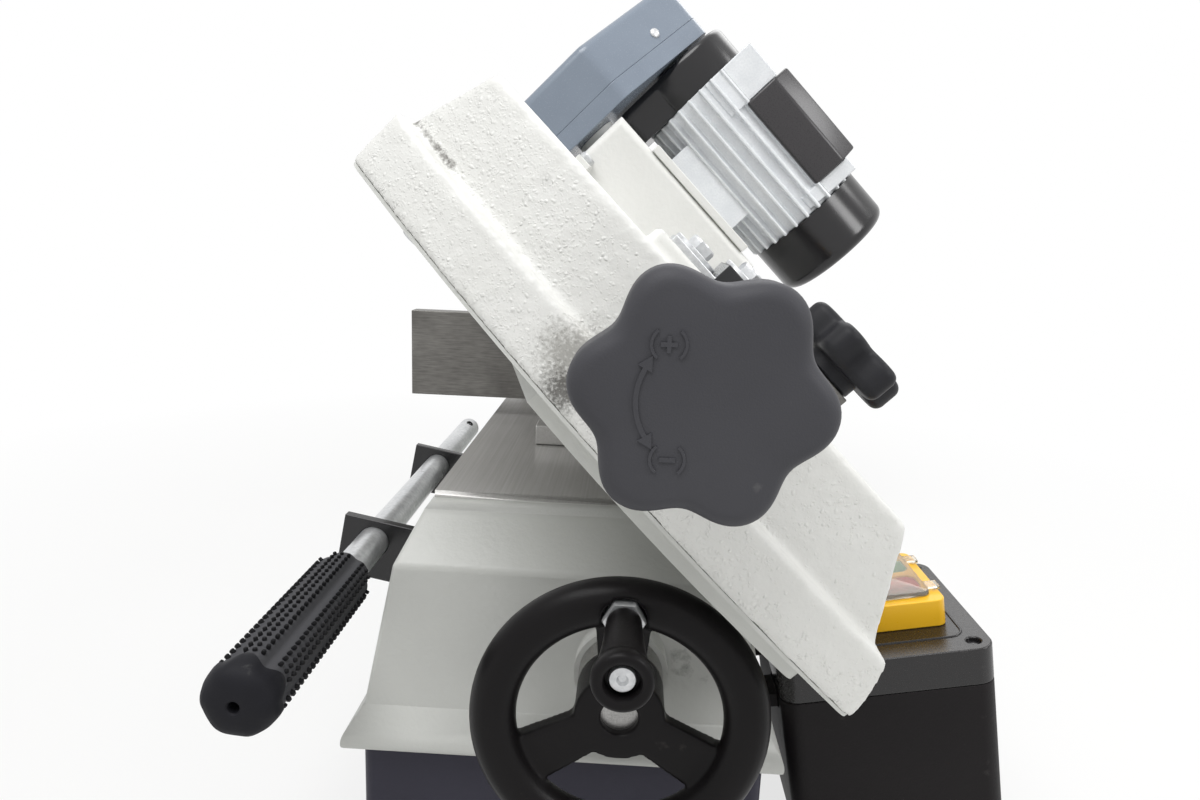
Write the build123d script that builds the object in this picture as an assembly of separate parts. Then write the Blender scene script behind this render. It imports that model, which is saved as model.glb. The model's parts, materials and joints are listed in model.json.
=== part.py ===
from build123d import *
import os
from math import atan2, cos, degrees, pi, radians, sin

# Small horizontal metal cutting band saw, millimetres.
# +Z is up, -Y is the idler end with the handwheel, +X is the side of the cut.
# The origin is the middle of the bolt pattern under the stand top.

# Fits
running_gap = 0.05
sliding_gap = 0.3
blade_gap = 0.3

# Fasteners
bolt_r = 4.0
bolt_head_r = 7.5
bolt_head = 5.5
washer_r = 13.5
washer_thick = 2.5

# Stand top
stand_height = 80.0
stand_sheet = 2.0
stand_inset = 8.0
stand_lip = 34.0
stand_corner = 6.0
bench_hole_d = 11.0
bench_side = 54.0
bench_end = 130.0

# Base casting
base_length = 730.0
base_width = 214.0
foot_edge = 6.0
foot_rise = 20.0
foot_flare = 9.0
shoulder_rise = 90.0
shoulder_width = 170.0
shoulder_inset = 16.0
deck_rise = 110.0
deck_width = 152.0
deck_front_inset = 41.0
deck_rear_inset = 18.0
bed_rise = 4.0
bed_edge = 1.0
bed_front_margin = 20.0
base_wall = 8.0
deck_thick = 12.0
boss_r = 13.0
boss_rise = 24.0
base_bolt_side = 27.0
base_bolt_end = 43.0

# Bow, measured from the tension screw: u towards the cut, v towards the back
bow_tilt = 45.0
bow_x = 47.0
bow_rise = 203.0
bow_overhang = 65.0
bow_low = 148.0
bow_high = 150.0
bow_recess_low = 8.0
bow_recess_high = 52.0
bow_crown_u = 30.0
bow_corner = 10.0
rim_face = 46.0
rim_step_v = -20.0
rim_step = 6.0
back_v = 20.0
pad_rise = 8.0
pad_margin = 8.0
low_bevel = 12.0
low_slope = 32.0
high_slope = 12.0
web_thick = 10.0
rim_wall = 13.0
wheel_gap = 1.8
spine_width = 75.0
swing_clearance = 4.0
screw_pad_r = 18.0

# Blade and wheels
wheel_r = 115.0
wheel_thick = 18.0
wheel_v = -29.0
wheel_rim = 12.0
wheel_plate = 7.0
wheel_hub_r = 24.0
wheel_holes = 5
wheel_hole_r = 17.0
wheel_hole_ring = 63.0
wheel_room = 20.0
axle_shortfall = 272.3
axle_r = 10.0
axle_washer_r = 16.0
axle_washer = 5.0
blade_width = 13.0
blade_thick = 0.8

# Wheel cover
cover_margin = 18.0
cover_depth = 11.0
cover_sheet = 1.5
cover_edge = 1.0
cover_cut_u = 26.0
cover_cut_y = 210.0
cover_screw_r = 4.5
cover_screw_head = 3.0
cover_screw_length = 9.0
cover_shank_r = 2.5
cover_screw_u = 110.0
cover_screw_y = 50.0

# Blade tension
knob_lobe_r = 42.0
knob_valley_r = 35.2
knob_lobes = 6
knob_turn = -7.3
knob_thick = 26.0
knob_edge = 5.0
knob_stand_off = 24.0
knob_screw_depth = 16.0
collar_r = 14.0
tension_screw_r = 6.0
tension_travel = 8.0
slide_width = 56.0
slide_length = 84.0
slide_drop = 24.0
tongue_width = 24.0
tongue_length = 60.0
clamp_plate = 3.7
clamp_block = 13.0
clamp_low_u = 18.0
clamp_step_u = -8.0
clamp_high_u = -36.0
clamp_length = 40.0

# Gear case, motor and belt drive
shaft_r = 7.0
gear_r = 40.0
gear_thick = 14.0
gear_teeth = 30
tooth_depth = 4.0
worm_r = 9.0
worm_v = 55.0
case_high = 140.0
case_low = 55.0
case_top = 82.0
case_near = 49.0
case_far = 70.0
case_wall = 7.0
case_round = 8.0
case_ear = 16.0
case_ear_thick = 8.0
bow_bolt_length = 16.0
worm_boss_r = 22.0
motor_back = 100.0
motor_v = 172.0
motor_r = 62.0
motor_wall = 5.0
fin_height = 8.0
fin_thick = 3.5
fin_count = 28
motor_high = 112.0
motor_low = 64.0
motor_plate = 8.0
foot_width = 92.0
foot_low = 20.0
foot_high = 80.0
rotor_r = 34.0
fan_r = 53.0
fan_thick = 14.0
fan_cover_r = 67.0
fan_cover_length = 60.0
fan_cover_sheet = 2.0
fan_cover_round = 12.0
vent_r = 3.5
vent_pitch = 10.5
vent_rings = 4
saddle_near = 64.0
saddle_top = 234.0
saddle_low = 60.0
capacitor_near = 68.0
capacitor_far = 2.0
capacitor_high = 68.0
capacitor_low = 44.0
capacitor_base = 192.0
capacitor_top = 250.0
capacitor_round = 10.0
motor_pulley_r = 28.0
driven_pulley_r = 45.0
pulley_width = 18.0
groove_depth = 7.0
groove_floor = 8.0
groove_mouth = 13.0
belt_width = 7.2
belt_thick = 6.0
belt_u = -190.0
guard_outer_u = -222.0
guard_seam_u = -174.0
guard_inner_u = -154.0
guard_sheet = 2.0
guard_margin = 16.0
guard_corner = 18.0

# Blade guides
bar_u = 70.0
bar_width = 26.0
bar_thick = 12.0
bar_end = 10.0
guide_travel = 60.0
guide_plate = 14.0
guide_inset = 7.5
guide_left = 16.0
guide_right = 20.0
guide_back_gap = 1.0
rear_bar_length = 63.0
rear_bolt_pitch = 24.0
roller_r = 9.5
roller_height = 12.0
roller_stud_r = 4.0
stud_head_r = 6.5
stud_head = 2.5
guide_knob_y = 137.5
guide_knob_r = 32.0
guide_knob_valley_r = 26.0
guide_knob_thick = 18.0
guide_boss_r = 15.0
guide_boss = 7.0
guide_stud_r = 5.0

# Pivot of the bow
pivot_rise = 145.0
pivot_back = 28.0
pivot_pin_r = 9.0
pivot_barrel_r = 15.0
pivot_x = 30.0
barrel_length = 49.0
cheek_thick = 17.0
pivot_foot = 12.0
pivot_head_r = 13.0
pivot_head = 5.0
arm_plate = 10.0
arm_low_u = 72.0
arm_high_u = -12.0
arm_bolt_v = 4.0

# Vise
screw_x = 27.0
vise_rise = 49.0
vise_screw_r = 8.0
handwheel_r = 64.0
handwheel_rim = 20.0
handwheel_thick = 18.0
handwheel_stand_off = 37.0
handwheel_hub_r = 19.5
hub_set_back = 9.0
hub_length = 24.0
spoke_root = 16.0
spoke_tip = 25.0
spoke_thick = 8.0
screw_boss_r = 22.0
crank_radius = 49.0
crank_length = 46.0
crank_r = 8.5
crank_tip_r = 11.5
crank_neck_r = 7.3
crank_lip = 5.0
crank_edge = 2.0
spindle_r = 4.0
spindle_nut = 10.0
spindle_nut_r = 9.0
spindle_head_r = 5.0
spindle_head = 3.0
crank_recess = 6.0
carriage_thick = 13.0
carriage_left = 34.0
carriage_right = 40.0
carriage_length = 95.0
carriage_slope = 11.0
slot_width = 24.0
slot_margin = 8.0
vise_travel_close = 105.0
vise_travel_open = 8.0
jaw_thick = 13.0
jaw_height = 62.0
fixed_jaw_height = 48.0
jaw_left = 136.0
jaw_right = 80.0
jaw_margin = 14.9
guide_room = 48.0
jaw_foot_length = 42.0
jaw_foot_left = 70.0
jaw_foot_right = 24.0
nut_length = 30.0
nut_drop = 15.0

# Pull-out handle
rod_x = -122.0
rod_rise = 66.0
rod_r = 9.0
rod_length = 450.0
grip_r = 16.5
grip_bore = 110.0
grip_length = 125.0
grip_reach = 72.0
bracket_near = 103.0
bracket_pitch = 162.0
bracket_thick = 6.0
bracket_height = 36.0
bracket_reach = 51.0
bracket_drop = 10.0
bracket_flange = 26.0

# Control box and switch
box_near = 35.0
box_depth = 110.0
box_width = 110.0
box_drop = 88.0
box_seam = -6.5
box_top = 13.5
box_stand_off = 12.0
box_wall = 3.0
box_corner = 10.0
box_screw_inset = 9.0
box_screw_r = 3.5
box_screw_depth = 14.0
box_screw_sink = 2.0
lug_width = 20.0
lug_height = 8.0
gland_r = 11.0
gland_thread_r = 8.0
gland_length = 16.0
gland_bore = 4.0
switch_n = 69.0
switch_y = 60.0
switch_width = 52.0
switch_depth = 66.0
switch_height = 15.0
switch_floor = 3.0
switch_round = 5.0
button_size = 17.0
button_height = 11.0
button_travel = 2.7
button_gap = 6.0
flap_sheet = 2.0
flap_pin_r = 2.0

# Derived places
base_front = -base_length / 2
base_floor = stand_height
base_bolt_x = base_width / 2 - base_bolt_side
base_bolt_y = base_length / 2 - base_bolt_end
bench_spacing_x = base_width - bench_side
bench_spacing_y = base_length - bench_end
waist_width = base_width - 2 * foot_flare
deck_z = base_floor + deck_rise
bed_z = deck_z + bed_rise
bow_z = base_floor + bow_rise
bow_near = base_front - bow_overhang
axle_distance = base_length - axle_shortfall
blade_r = wheel_r + blade_gap
idler_y = bow_near + wheel_room + blade_r + blade_thick
drive_y = idler_y + axle_distance
bow_far = drive_y + blade_r + blade_thick + wheel_room
throat_start = idler_y + blade_r + blade_thick + tension_travel + wheel_gap + rim_wall
throat_end = drive_y - blade_r - blade_thick - wheel_gap - rim_wall
pocket_v = back_v - web_thick
pad_v = back_v + pad_rise
pivot_y = bow_far + pivot_back
pivot_z = base_floor + pivot_rise
wall_draft = degrees(atan2((waist_width - shoulder_width) / 2, shoulder_rise - foot_rise))
worm_y = drive_y + gear_r + worm_r + sliding_gap
motor_y = drive_y + motor_back
vise_z = base_floor + vise_rise
fixed_y = throat_end - jaw_margin - jaw_thick
jaw_y = throat_start + guide_room
carriage_y = jaw_y - carriage_length
slot_start = carriage_y + slot_margin
nut_y = slot_start + slot_margin + vise_travel_open
handwheel_y = base_front - handwheel_stand_off
rod_z = base_floor + rod_rise
grip_y = base_front - grip_reach
blade_u = blade_r + blade_thick / 2
tilt_c = cos(radians(bow_tilt))
tilt_s = sin(radians(bow_tilt))
blade_x = bow_x + blade_u * tilt_c + wheel_v * tilt_s
blade_z = bow_z - blade_u * tilt_s + wheel_v * tilt_c
guide_open_y = throat_start + guide_inset
front_guide_y = guide_open_y + guide_travel
rear_guide_y = throat_end - guide_inset - guide_plate
roller_offset = blade_thick / 2 + blade_gap + roller_r
stud_y = bow_near + guide_knob_y
bar_near = stud_y - guide_stud_r - sliding_gap - bar_end
bar_top = pad_v + sliding_gap + bar_thick
bow_place = Pos(bow_x, 0, bow_z) * Rot(0, bow_tilt, 0)
right_wall = Pos(waist_width / 2, 0, base_floor + foot_rise) * Rot(0, -wall_draft, 0)
left_wall = Pos(-waist_width / 2, 0, base_floor + foot_rise) * Rot(0, wall_draft, 0)


# Shared shapes
def span(x0, x1, y0, y1, z0, z1):
    return Pos((x0 + x1) / 2, (y0 + y1) / 2, (z0 + z1) / 2) * Box(x1 - x0, y1 - y0, z1 - z0)


def rod_along_x(radius, x0, x1, y, z):
    return Pos((x0 + x1) / 2, y, z) * Rot(0, 90, 0) * Cylinder(radius, x1 - x0)


def rod_along_y(radius, y0, y1, x, z):
    return Pos(x, (y0 + y1) / 2, z) * Rot(90, 0, 0) * Cylinder(radius, y1 - y0)


def rod_along_z(radius, z0, z1, x, y):
    return Pos(x, y, (z0 + z1) / 2) * Cylinder(radius, z1 - z0)


def hex_bolt(length, washer=False):
    # Bearing face at the origin, shank along -Z, head along +Z.
    lift = washer_thick if washer else 0
    bolt = extrude(Pos(0, 0, lift) * RegularPolygon(bolt_head_r, 6), bolt_head)
    bolt += rod_along_z(bolt_r, -length, lift, 0, 0)
    if washer:
        bolt += rod_along_z(washer_r, 0, washer_thick, 0, 0)
    return bolt


def bolt_hole(length):
    return rod_along_z(bolt_r + running_gap, -length, 0, 0, 0)


def turned(points):
    outline = make_face(Polyline([(r, 0, h) for r, h in points], close=True))
    return revolve(outline, Axis.Z)


def lobed_knob(tip_r, valley_r, lobes, turn, thick, edge):
    # Round head with blended lobes, rounded at both faces.
    lobe_r = tip_r / 3
    plan = Circle(valley_r)
    for i in range(lobes):
        plan += Rot(0, 0, turn + 360 * i / lobes) * Pos(tip_r - lobe_r, 0) * Circle(lobe_r)
    plan = fillet(plan.vertices(), lobe_r / 2)
    body = extrude(plan, thick)
    return fillet(body.edges().filter_by(Axis.Z, reverse=True), edge)


def bow_outline(inset):
    # Plan of the bow, a C that is open at the cut.
    low = bow_low - inset
    high = -bow_high + inset
    front = bow_near + inset
    near_edge = ThreePointArc((low, front + bow_recess_low), (bow_crown_u, front),
                              (high, front + bow_recess_high))
    corners = [
        (high, front + bow_recess_high),
        (high, bow_far - inset),
        (low, bow_far - inset),
        (low, throat_end + inset),
        (-spine_width - inset, throat_end + inset),
        (-spine_width - inset, throat_start - inset),
        (low, throat_start - inset),
        (low, front + bow_recess_low),
    ]
    face = make_face([near_edge] + [Line(a, b) for a, b in zip(corners, corners[1:])])
    return fillet(face.vertices(), bow_corner)


# Stand and base
def stand_top():
    width = base_width - 2 * stand_inset
    length = base_length - 2 * stand_inset
    shell = extrude(RectangleRounded(width, length, stand_corner), stand_height)
    inner_width = width - 2 * stand_sheet
    inner_length = length - 2 * stand_sheet
    hollow = RectangleRounded(inner_width, inner_length, stand_corner - stand_sheet)
    shell -= Pos(0, 0, stand_sheet) * extrude(hollow, stand_height - 2 * stand_sheet)
    shell -= extrude(Rectangle(inner_width - 2 * stand_lip, inner_length - 2 * stand_lip), stand_sheet)
    for i in (-1, 1):
        for j in (-1, 1):
            place = Pos(i * bench_spacing_x / 2, j * bench_spacing_y / 2, 0)
            shell -= place * rod_along_z(bench_hole_d / 2, 0, stand_sheet, 0, 0)
            shell -= rod_along_z(bolt_r + sliding_gap, stand_height - stand_sheet, stand_height,
                                 i * base_bolt_x, j * base_bolt_y)
    return shell


def base_body(inset):
    levels = [
        (0, base_width, 0, 0),
        (foot_edge, base_width, 0, 0),
        (foot_rise, waist_width, foot_flare, foot_flare),
        (shoulder_rise, shoulder_width, shoulder_inset, shoulder_inset),
        (deck_rise, deck_width, deck_front_inset, deck_rear_inset),
    ]
    sections = []
    for rise, width, front, rear in levels:
        depth = base_length - front - rear - 2 * inset
        place = Pos(0, (front - rear) / 2, base_floor + rise)
        sections.append(place * Rectangle(width - 2 * inset, depth))
    body = loft(sections[:2], ruled=True)
    for low, high in zip(sections[1:], sections[2:]):
        body += loft([low, high], ruled=True)
    return body


def bow_room(gap):
    # Space that the tilted bow needs over the base at both ends of the cut.
    floor_v = -rim_face - cover_depth - gap
    room = span(-base_length, base_length, bow_near - gap, throat_start + gap, floor_v, base_length)
    room += span(-base_length, base_length, throat_end - gap, bow_far + gap, floor_v, base_length)
    return bow_place * room


def base_casting():
    body = base_body(0)
    bed_half = deck_width / 2 - bed_edge
    bed_front = base_front + deck_front_inset + bed_front_margin
    bed_rear = -base_front - deck_rear_inset - bed_edge
    body += span(-bed_half, bed_half, bed_front, bed_rear, deck_z, bed_z)
    body -= bow_room(swing_clearance)
    hollow = base_body(base_wall)
    hollow -= span(-base_width, base_width, base_front, -base_front, deck_z - deck_thick, deck_z)
    hollow -= bow_room(swing_clearance + base_wall)
    body -= hollow
    for i in (-1, 1):
        for j in (-1, 1):
            body += rod_along_z(boss_r, base_floor, base_floor + boss_rise, i * base_bolt_x, j * base_bolt_y)
            body -= rod_along_z(bolt_r + running_gap, base_floor, base_floor + boss_rise,
                                i * base_bolt_x, j * base_bolt_y)
    wall_back = base_front + shoulder_inset + base_wall
    body += rod_along_y(screw_boss_r, base_front, wall_back, screw_x, vise_z)
    body -= rod_along_y(vise_screw_r + running_gap, base_front, wall_back, screw_x, vise_z)
    slot_end = nut_y + nut_length + vise_travel_close + slot_margin
    body -= span(screw_x - slot_width / 2, screw_x + slot_width / 2, slot_start, slot_end,
                 deck_z - deck_thick, bed_z)
    for place in jaw_bolt_places() + pivot_bolt_places():
        body -= place * bolt_hole(deck_thick + pivot_foot)
    for place in handle_bolt_places():
        body -= place * bolt_hole(base_wall + bracket_thick)
    return body


def jaw_bolt_places():
    y = fixed_y + jaw_thick + jaw_foot_length / 2
    top = bed_z + carriage_thick
    middle = (jaw_foot_right - jaw_foot_left) / 2
    pitch = (jaw_foot_right + jaw_foot_left) / 2
    return [Pos(middle + i * pitch / 2, y, top) for i in (-1, 1)]


def pivot_bolt_places():
    left = pivot_x - barrel_length / 2 - cheek_thick
    return [Pos(left - pivot_foot - i * 2 * pivot_foot, pivot_y, bed_z + pivot_foot) for i in (0, 1)]


def base_bolts():
    pieces = []
    for i in (-1, 1):
        for j in (-1, 1):
            place = Pos(i * base_bolt_x, j * base_bolt_y, stand_height - stand_sheet) * Rot(180, 0, 0)
            pieces.append(place * hex_bolt(stand_sheet + boss_rise))
    for place in jaw_bolt_places() + pivot_bolt_places():
        pieces.append(place * hex_bolt(deck_thick + pivot_foot))
    for place in handle_bolt_places():
        pieces.append(place * hex_bolt(base_wall + bracket_thick))
    return Compound(pieces)


def pivot_support():
    inner = barrel_length / 2 + sliding_gap
    outer = inner + cheek_thick
    left_bolt = pivot_bolt_places()[-1].position.X
    front = pivot_y - pivot_barrel_r
    rear = pivot_y + pivot_barrel_r
    body = span(left_bolt - pivot_foot, pivot_x + outer, front, rear, bed_z, bed_z + pivot_foot)
    for x in (pivot_x - outer, pivot_x + inner):
        body += span(x, x + cheek_thick, front, rear, bed_z, pivot_z)
        body += rod_along_x(pivot_barrel_r, x, x + cheek_thick, pivot_y, pivot_z)
    body -= rod_along_x(pivot_pin_r + running_gap, pivot_x - outer, pivot_x + outer, pivot_y, pivot_z)
    for place in pivot_bolt_places():
        body -= place * bolt_hole(pivot_foot)
    return body


def pivot_pin():
    end = barrel_length / 2 + sliding_gap + cheek_thick
    pin = rod_along_x(pivot_pin_r, pivot_x - end, pivot_x + end, pivot_y, pivot_z)
    pin += rod_along_x(pivot_head_r, pivot_x - end - pivot_head, pivot_x - end, pivot_y, pivot_z)
    return pin


# Vise
def fixed_jaw():
    foot_top = bed_z + carriage_thick
    back = fixed_y + jaw_thick
    jaw = span(-jaw_left, jaw_right, fixed_y, back, foot_top, foot_top + fixed_jaw_height)
    jaw += span(-jaw_foot_left, jaw_foot_right, fixed_y, back + jaw_foot_length, bed_z, foot_top)
    for place in jaw_bolt_places():
        jaw -= place * bolt_hole(carriage_thick)
    return jaw


def vise_carriage():
    top = bed_z + carriage_thick
    slab = span(-carriage_left, carriage_right, carriage_y, jaw_y, bed_z + sliding_gap, top)
    edge = slab.edges().filter_by(Axis.Y).sort_by(Axis.Z)[-2:].sort_by(Axis.X)[-1]
    return chamfer(edge, carriage_slope)


def vise_nut():
    half = slot_width / 2 - sliding_gap
    nut = span(screw_x - half, screw_x + half, nut_y, nut_y + nut_length,
               vise_z - nut_drop, bed_z + sliding_gap)
    return nut - rod_along_y(vise_screw_r + running_gap, nut_y, nut_y + nut_length, screw_x, vise_z)


def movable_jaw():
    top = bed_z + carriage_thick
    return span(-jaw_left, jaw_right, jaw_y - jaw_thick, jaw_y, top, top + jaw_height)


def vise_screw():
    hub_back = handwheel_y + hub_length
    tip = nut_y + nut_length + vise_travel_close
    screw = rod_along_y(vise_screw_r, handwheel_y + hub_set_back / 2, tip, screw_x, vise_z)
    return screw + rod_along_y(handwheel_hub_r, hub_back, base_front - sliding_gap, screw_x, vise_z)


def vise_handwheel():
    ring = Cylinder(handwheel_r, handwheel_thick) - Cylinder(handwheel_r - handwheel_rim, handwheel_thick)
    ring = fillet(ring.edges(), handwheel_thick / 2 - running_gap)
    wheel = Pos(screw_x, handwheel_y, vise_z) * Rot(90, 0, 0) * ring
    wheel += rod_along_y(handwheel_hub_r, handwheel_y, handwheel_y + hub_length, screw_x, vise_z)
    reach = handwheel_r - handwheel_rim / 2
    blade = make_face(Polyline([(-spoke_root / 2, 0), (spoke_root / 2, 0), (spoke_tip / 2, reach),
                                (-spoke_tip / 2, reach)], close=True))
    spoke = Rot(90, 0, 0) * extrude(blade, spoke_thick)
    for i in range(3):
        turn = Rot(0, 120 * i, 0)
        wheel += Pos(screw_x, handwheel_y + spoke_thick, vise_z) * turn * spoke
    wheel -= rod_along_y(vise_screw_r + running_gap, handwheel_y, handwheel_y + hub_length, screw_x, vise_z)
    crank_z = vise_z + crank_radius
    wheel -= rod_along_y(spindle_r + running_gap, handwheel_y - handwheel_thick,
                         handwheel_y + handwheel_thick, screw_x, crank_z)
    seat = handwheel_y - handwheel_thick
    wheel -= rod_along_y(spindle_nut_r + sliding_gap, seat, handwheel_y, screw_x, crank_z)
    return wheel


def crank_front():
    return handwheel_y - spindle_nut - sliding_gap - crank_length


def crank_spindle():
    crank_z = vise_z + crank_radius
    tip = crank_front() + crank_recess
    pin = rod_along_y(spindle_r, tip, handwheel_y + spoke_thick, screw_x, crank_z)
    nut = extrude(RegularPolygon(spindle_nut_r, 6), spindle_nut)
    nut = Pos(screw_x, handwheel_y, crank_z) * Rot(90, 0, 0) * nut
    head = rod_along_y(spindle_head_r, tip - spindle_head, tip, screw_x, crank_z)
    return pin + nut + head


def crank_grip():
    # Handle of the handwheel, flared at its free end.
    flare = crank_length - crank_lip - crank_edge
    profile = [
        (0, 0),
        (crank_neck_r, 0),
        (crank_neck_r, crank_edge),
        (crank_r, crank_length / 3),
        (crank_r, crank_length / 2),
        (crank_tip_r, flare),
        (crank_tip_r, crank_length - crank_edge),
        (crank_tip_r - crank_edge, crank_length),
        (0, crank_length),
    ]
    grip = turned(profile)
    grip -= rod_along_z(spindle_r + running_gap, 0, crank_length, 0, 0)
    recess = crank_length - crank_recess - sliding_gap
    grip -= rod_along_z(spindle_head_r + sliding_gap, recess, crank_length, 0, 0)
    back = crank_front() + crank_length
    return Pos(screw_x, back, vise_z + crank_radius) * Rot(90, 0, 0) * grip


# Pull-out handle
def handle_bolt_places():
    places = []
    lift = rod_rise - foot_rise - bracket_drop
    for y in (base_front + bracket_near, base_front + bracket_near + bracket_pitch):
        along = y + bracket_thick + bracket_flange / 2
        places.append(left_wall * Pos(-bracket_thick, along, lift) * Rot(0, -90, 0))
    return places


def handle_bracket(y):
    # Plate that stands square to the wall, with a foot along it.
    low = rod_rise - foot_rise - bracket_drop - bracket_height / 2
    high = low + bracket_height
    back = y + bracket_thick
    foot = span(-bracket_thick, 0, y, back + bracket_flange, low, high)
    plate = span(-bracket_reach, 0, y, back, low, high)
    return left_wall * (foot + plate) - rod_along_y(rod_r + running_gap, y, back, rod_x, rod_z)


def handle_brackets():
    near = base_front + bracket_near
    pieces = [handle_bracket(near), handle_bracket(near + bracket_pitch)]
    cut = []
    for piece, place in zip(pieces, handle_bolt_places()):
        cut.append(piece - place * bolt_hole(bracket_thick))
    return Compound(cut)


def handle_rod():
    start = grip_y + grip_length - grip_bore
    return rod_along_y(rod_r, start, start + rod_length, rod_x, rod_z)


def handle_grip():
    grip = rod_along_y(grip_r, grip_y, grip_y + grip_length, rod_x, rod_z)
    front = grip.edges().sort_by(Axis.Y)[0]
    grip = fillet(front, grip_r / 3)
    back = grip_y + grip_length
    return grip - rod_along_y(rod_r + running_gap, back - grip_bore, back, rod_x, rod_z)


# Control box, in the frame of the drafted right wall
def box_span(n0, n1, y0, y1, t0, t1):
    return span(n0, n1, base_front + box_near + y0, base_front + box_near + y1, t0, t1)


def rounded_box(inset, t0, t1):
    middle_n = box_stand_off + box_width / 2
    middle_y = base_front + box_near + box_depth / 2
    plan = RectangleRounded(box_width - 2 * inset, box_depth - 2 * inset, box_corner - inset)
    return Pos(middle_n, middle_y, t0) * extrude(plan, t1 - t0)


def control_box():
    body = rounded_box(0, -box_drop, box_seam) - rounded_box(box_wall, -box_drop + box_wall, box_seam)
    low = box_seam - box_wall
    reach = box_stand_off + box_wall
    for y in (box_depth / 4, box_depth * 3 / 4):
        body += box_span(0, reach, y - lug_width / 2, y + lug_width / 2, low - lug_height, low)
    middle_n = box_stand_off + box_width / 2
    middle_y = base_front + box_near + box_depth
    body -= rod_along_y(gland_thread_r + running_gap, middle_y - box_wall, middle_y, middle_n, -box_drop / 2)
    return right_wall * body - base_body(0)


def control_box_lid():
    lid = rounded_box(0, box_seam, box_top) - rounded_box(box_wall, box_seam, box_top - box_wall)
    for place in lid_screw_places():
        lid += place * rod_along_z(box_screw_inset - box_wall, box_seam - box_top, 0, 0, 0)
        lid -= place * rod_along_z(box_screw_r + running_gap, -box_screw_depth, 0, 0, 0)
    return right_wall * lid


def lid_screw_places():
    places = []
    for n in (box_screw_inset, box_width - box_screw_inset):
        for y in (box_screw_inset, box_depth - box_screw_inset):
            places.append(Pos(box_stand_off + n, base_front + box_near + y, box_top))
    return places


def lid_screws():
    screws = [right_wall * place * rod_along_z(box_screw_r, -box_screw_depth, -box_screw_sink, 0, 0)
              for place in lid_screw_places()]
    return Compound(screws)


def cable_gland():
    middle_n = box_stand_off + box_width / 2
    face = base_front + box_near + box_depth
    gland = rod_along_y(gland_r, face, face + gland_length, middle_n, -box_drop / 2)
    gland += rod_along_y(gland_thread_r, face - box_wall, face, middle_n, -box_drop / 2)
    gland -= rod_along_y(gland_bore, face - box_wall, face + gland_length, middle_n, -box_drop / 2)
    return right_wall * gland


def switch_middle():
    return Pos(box_stand_off + switch_n, base_front + box_near + switch_y, box_top)


def switch_frame():
    outer = extrude(RectangleRounded(switch_width, switch_depth, switch_round), switch_height)
    frame = switch_middle() * outer
    room = button_size + 2 * sliding_gap
    for side in (-1, 1):
        pocket = RectangleRounded(room + button_size, room, switch_round)
        frame -= button_place(side) * Pos(0, 0, -button_travel) * extrude(pocket, switch_height)
    return right_wall * frame


def button_place(side):
    return switch_middle() * Pos(0, side * (button_size + button_gap) / 2, switch_floor + button_travel)


def push_button(side):
    plan = RectangleRounded(2 * button_size, button_size, switch_round - sliding_gap)
    return right_wall * button_place(side) * extrude(plan, button_height - button_travel)


def switch_flap():
    # Hinged clear cover over the buttons, with its barrel at the outer edge.
    base = switch_height + sliding_gap
    lid = Pos(0, 0, base) * extrude(RectangleRounded(switch_width, switch_depth, switch_round), flap_sheet)
    edge = switch_width / 2
    half = switch_depth / 2
    lid += rod_along_y(flap_pin_r, -half, half, edge + flap_pin_r, base + flap_pin_r)
    web_half = half - switch_round
    lid += span(edge - flap_sheet, edge + flap_pin_r, -web_half, web_half, base, base + flap_sheet)
    return right_wall * switch_middle() * lid


# Bow casting and cover, in bow coordinates until placed
def low_end_cut(inset):
    # Taken off the low ends, a bevel below the step and a longer slope above it.
    foot = bow_low - inset
    knee = foot - low_bevel
    heel = knee - rim_step
    beyond = bow_low + rim_step
    outline = [(foot, -rim_face), (knee, rim_step_v), (heel, rim_step_v), (heel - low_slope, back_v),
               (beyond, back_v), (beyond, -rim_face)]
    place = Plane(origin=(0, bow_far, 0), x_dir=(1, 0, 0), z_dir=(0, -1, 0))
    return extrude(place * make_face(Polyline(outline, close=True)), bow_far - bow_near)


def high_end_cut(inset):
    # Taken off the high edge of the idler half, deepest at the near corner of the back.
    edge = inset + rim_step - bow_high
    corner_y = bow_near + bow_recess_high
    deep = Vector(edge + high_slope, corner_y, back_v)
    foot = Vector(edge, corner_y, rim_step_v)
    end = Vector(edge, throat_start, back_v)
    place = Plane(origin=deep, x_dir=foot - deep, z_dir=(foot - deep).cross(end - deep))
    block = span(-bow_high, edge + 2 * high_slope, bow_near, throat_start, rim_step_v, back_v)
    return split(block, bisect_by=place, keep=Keep.BOTTOM)


def bow_pads():
    # Raised seats of the tension clamp and of both guide bars.
    near = idler_y - slide_length / 2
    far = idler_y + slide_length / 2 + tension_travel
    pads = span(clamp_high_u - pad_margin, clamp_low_u + pad_margin, near, far, pocket_v, pad_v)
    half = bar_width / 2
    front = (bar_near, throat_start - rim_step)
    rear = (throat_end + rim_step, throat_end + rear_bar_length)
    for start, end in (front, rear):
        pads += span(bar_u - half, bar_u + half, start, end, pocket_v, pad_v)
    return pads


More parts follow.
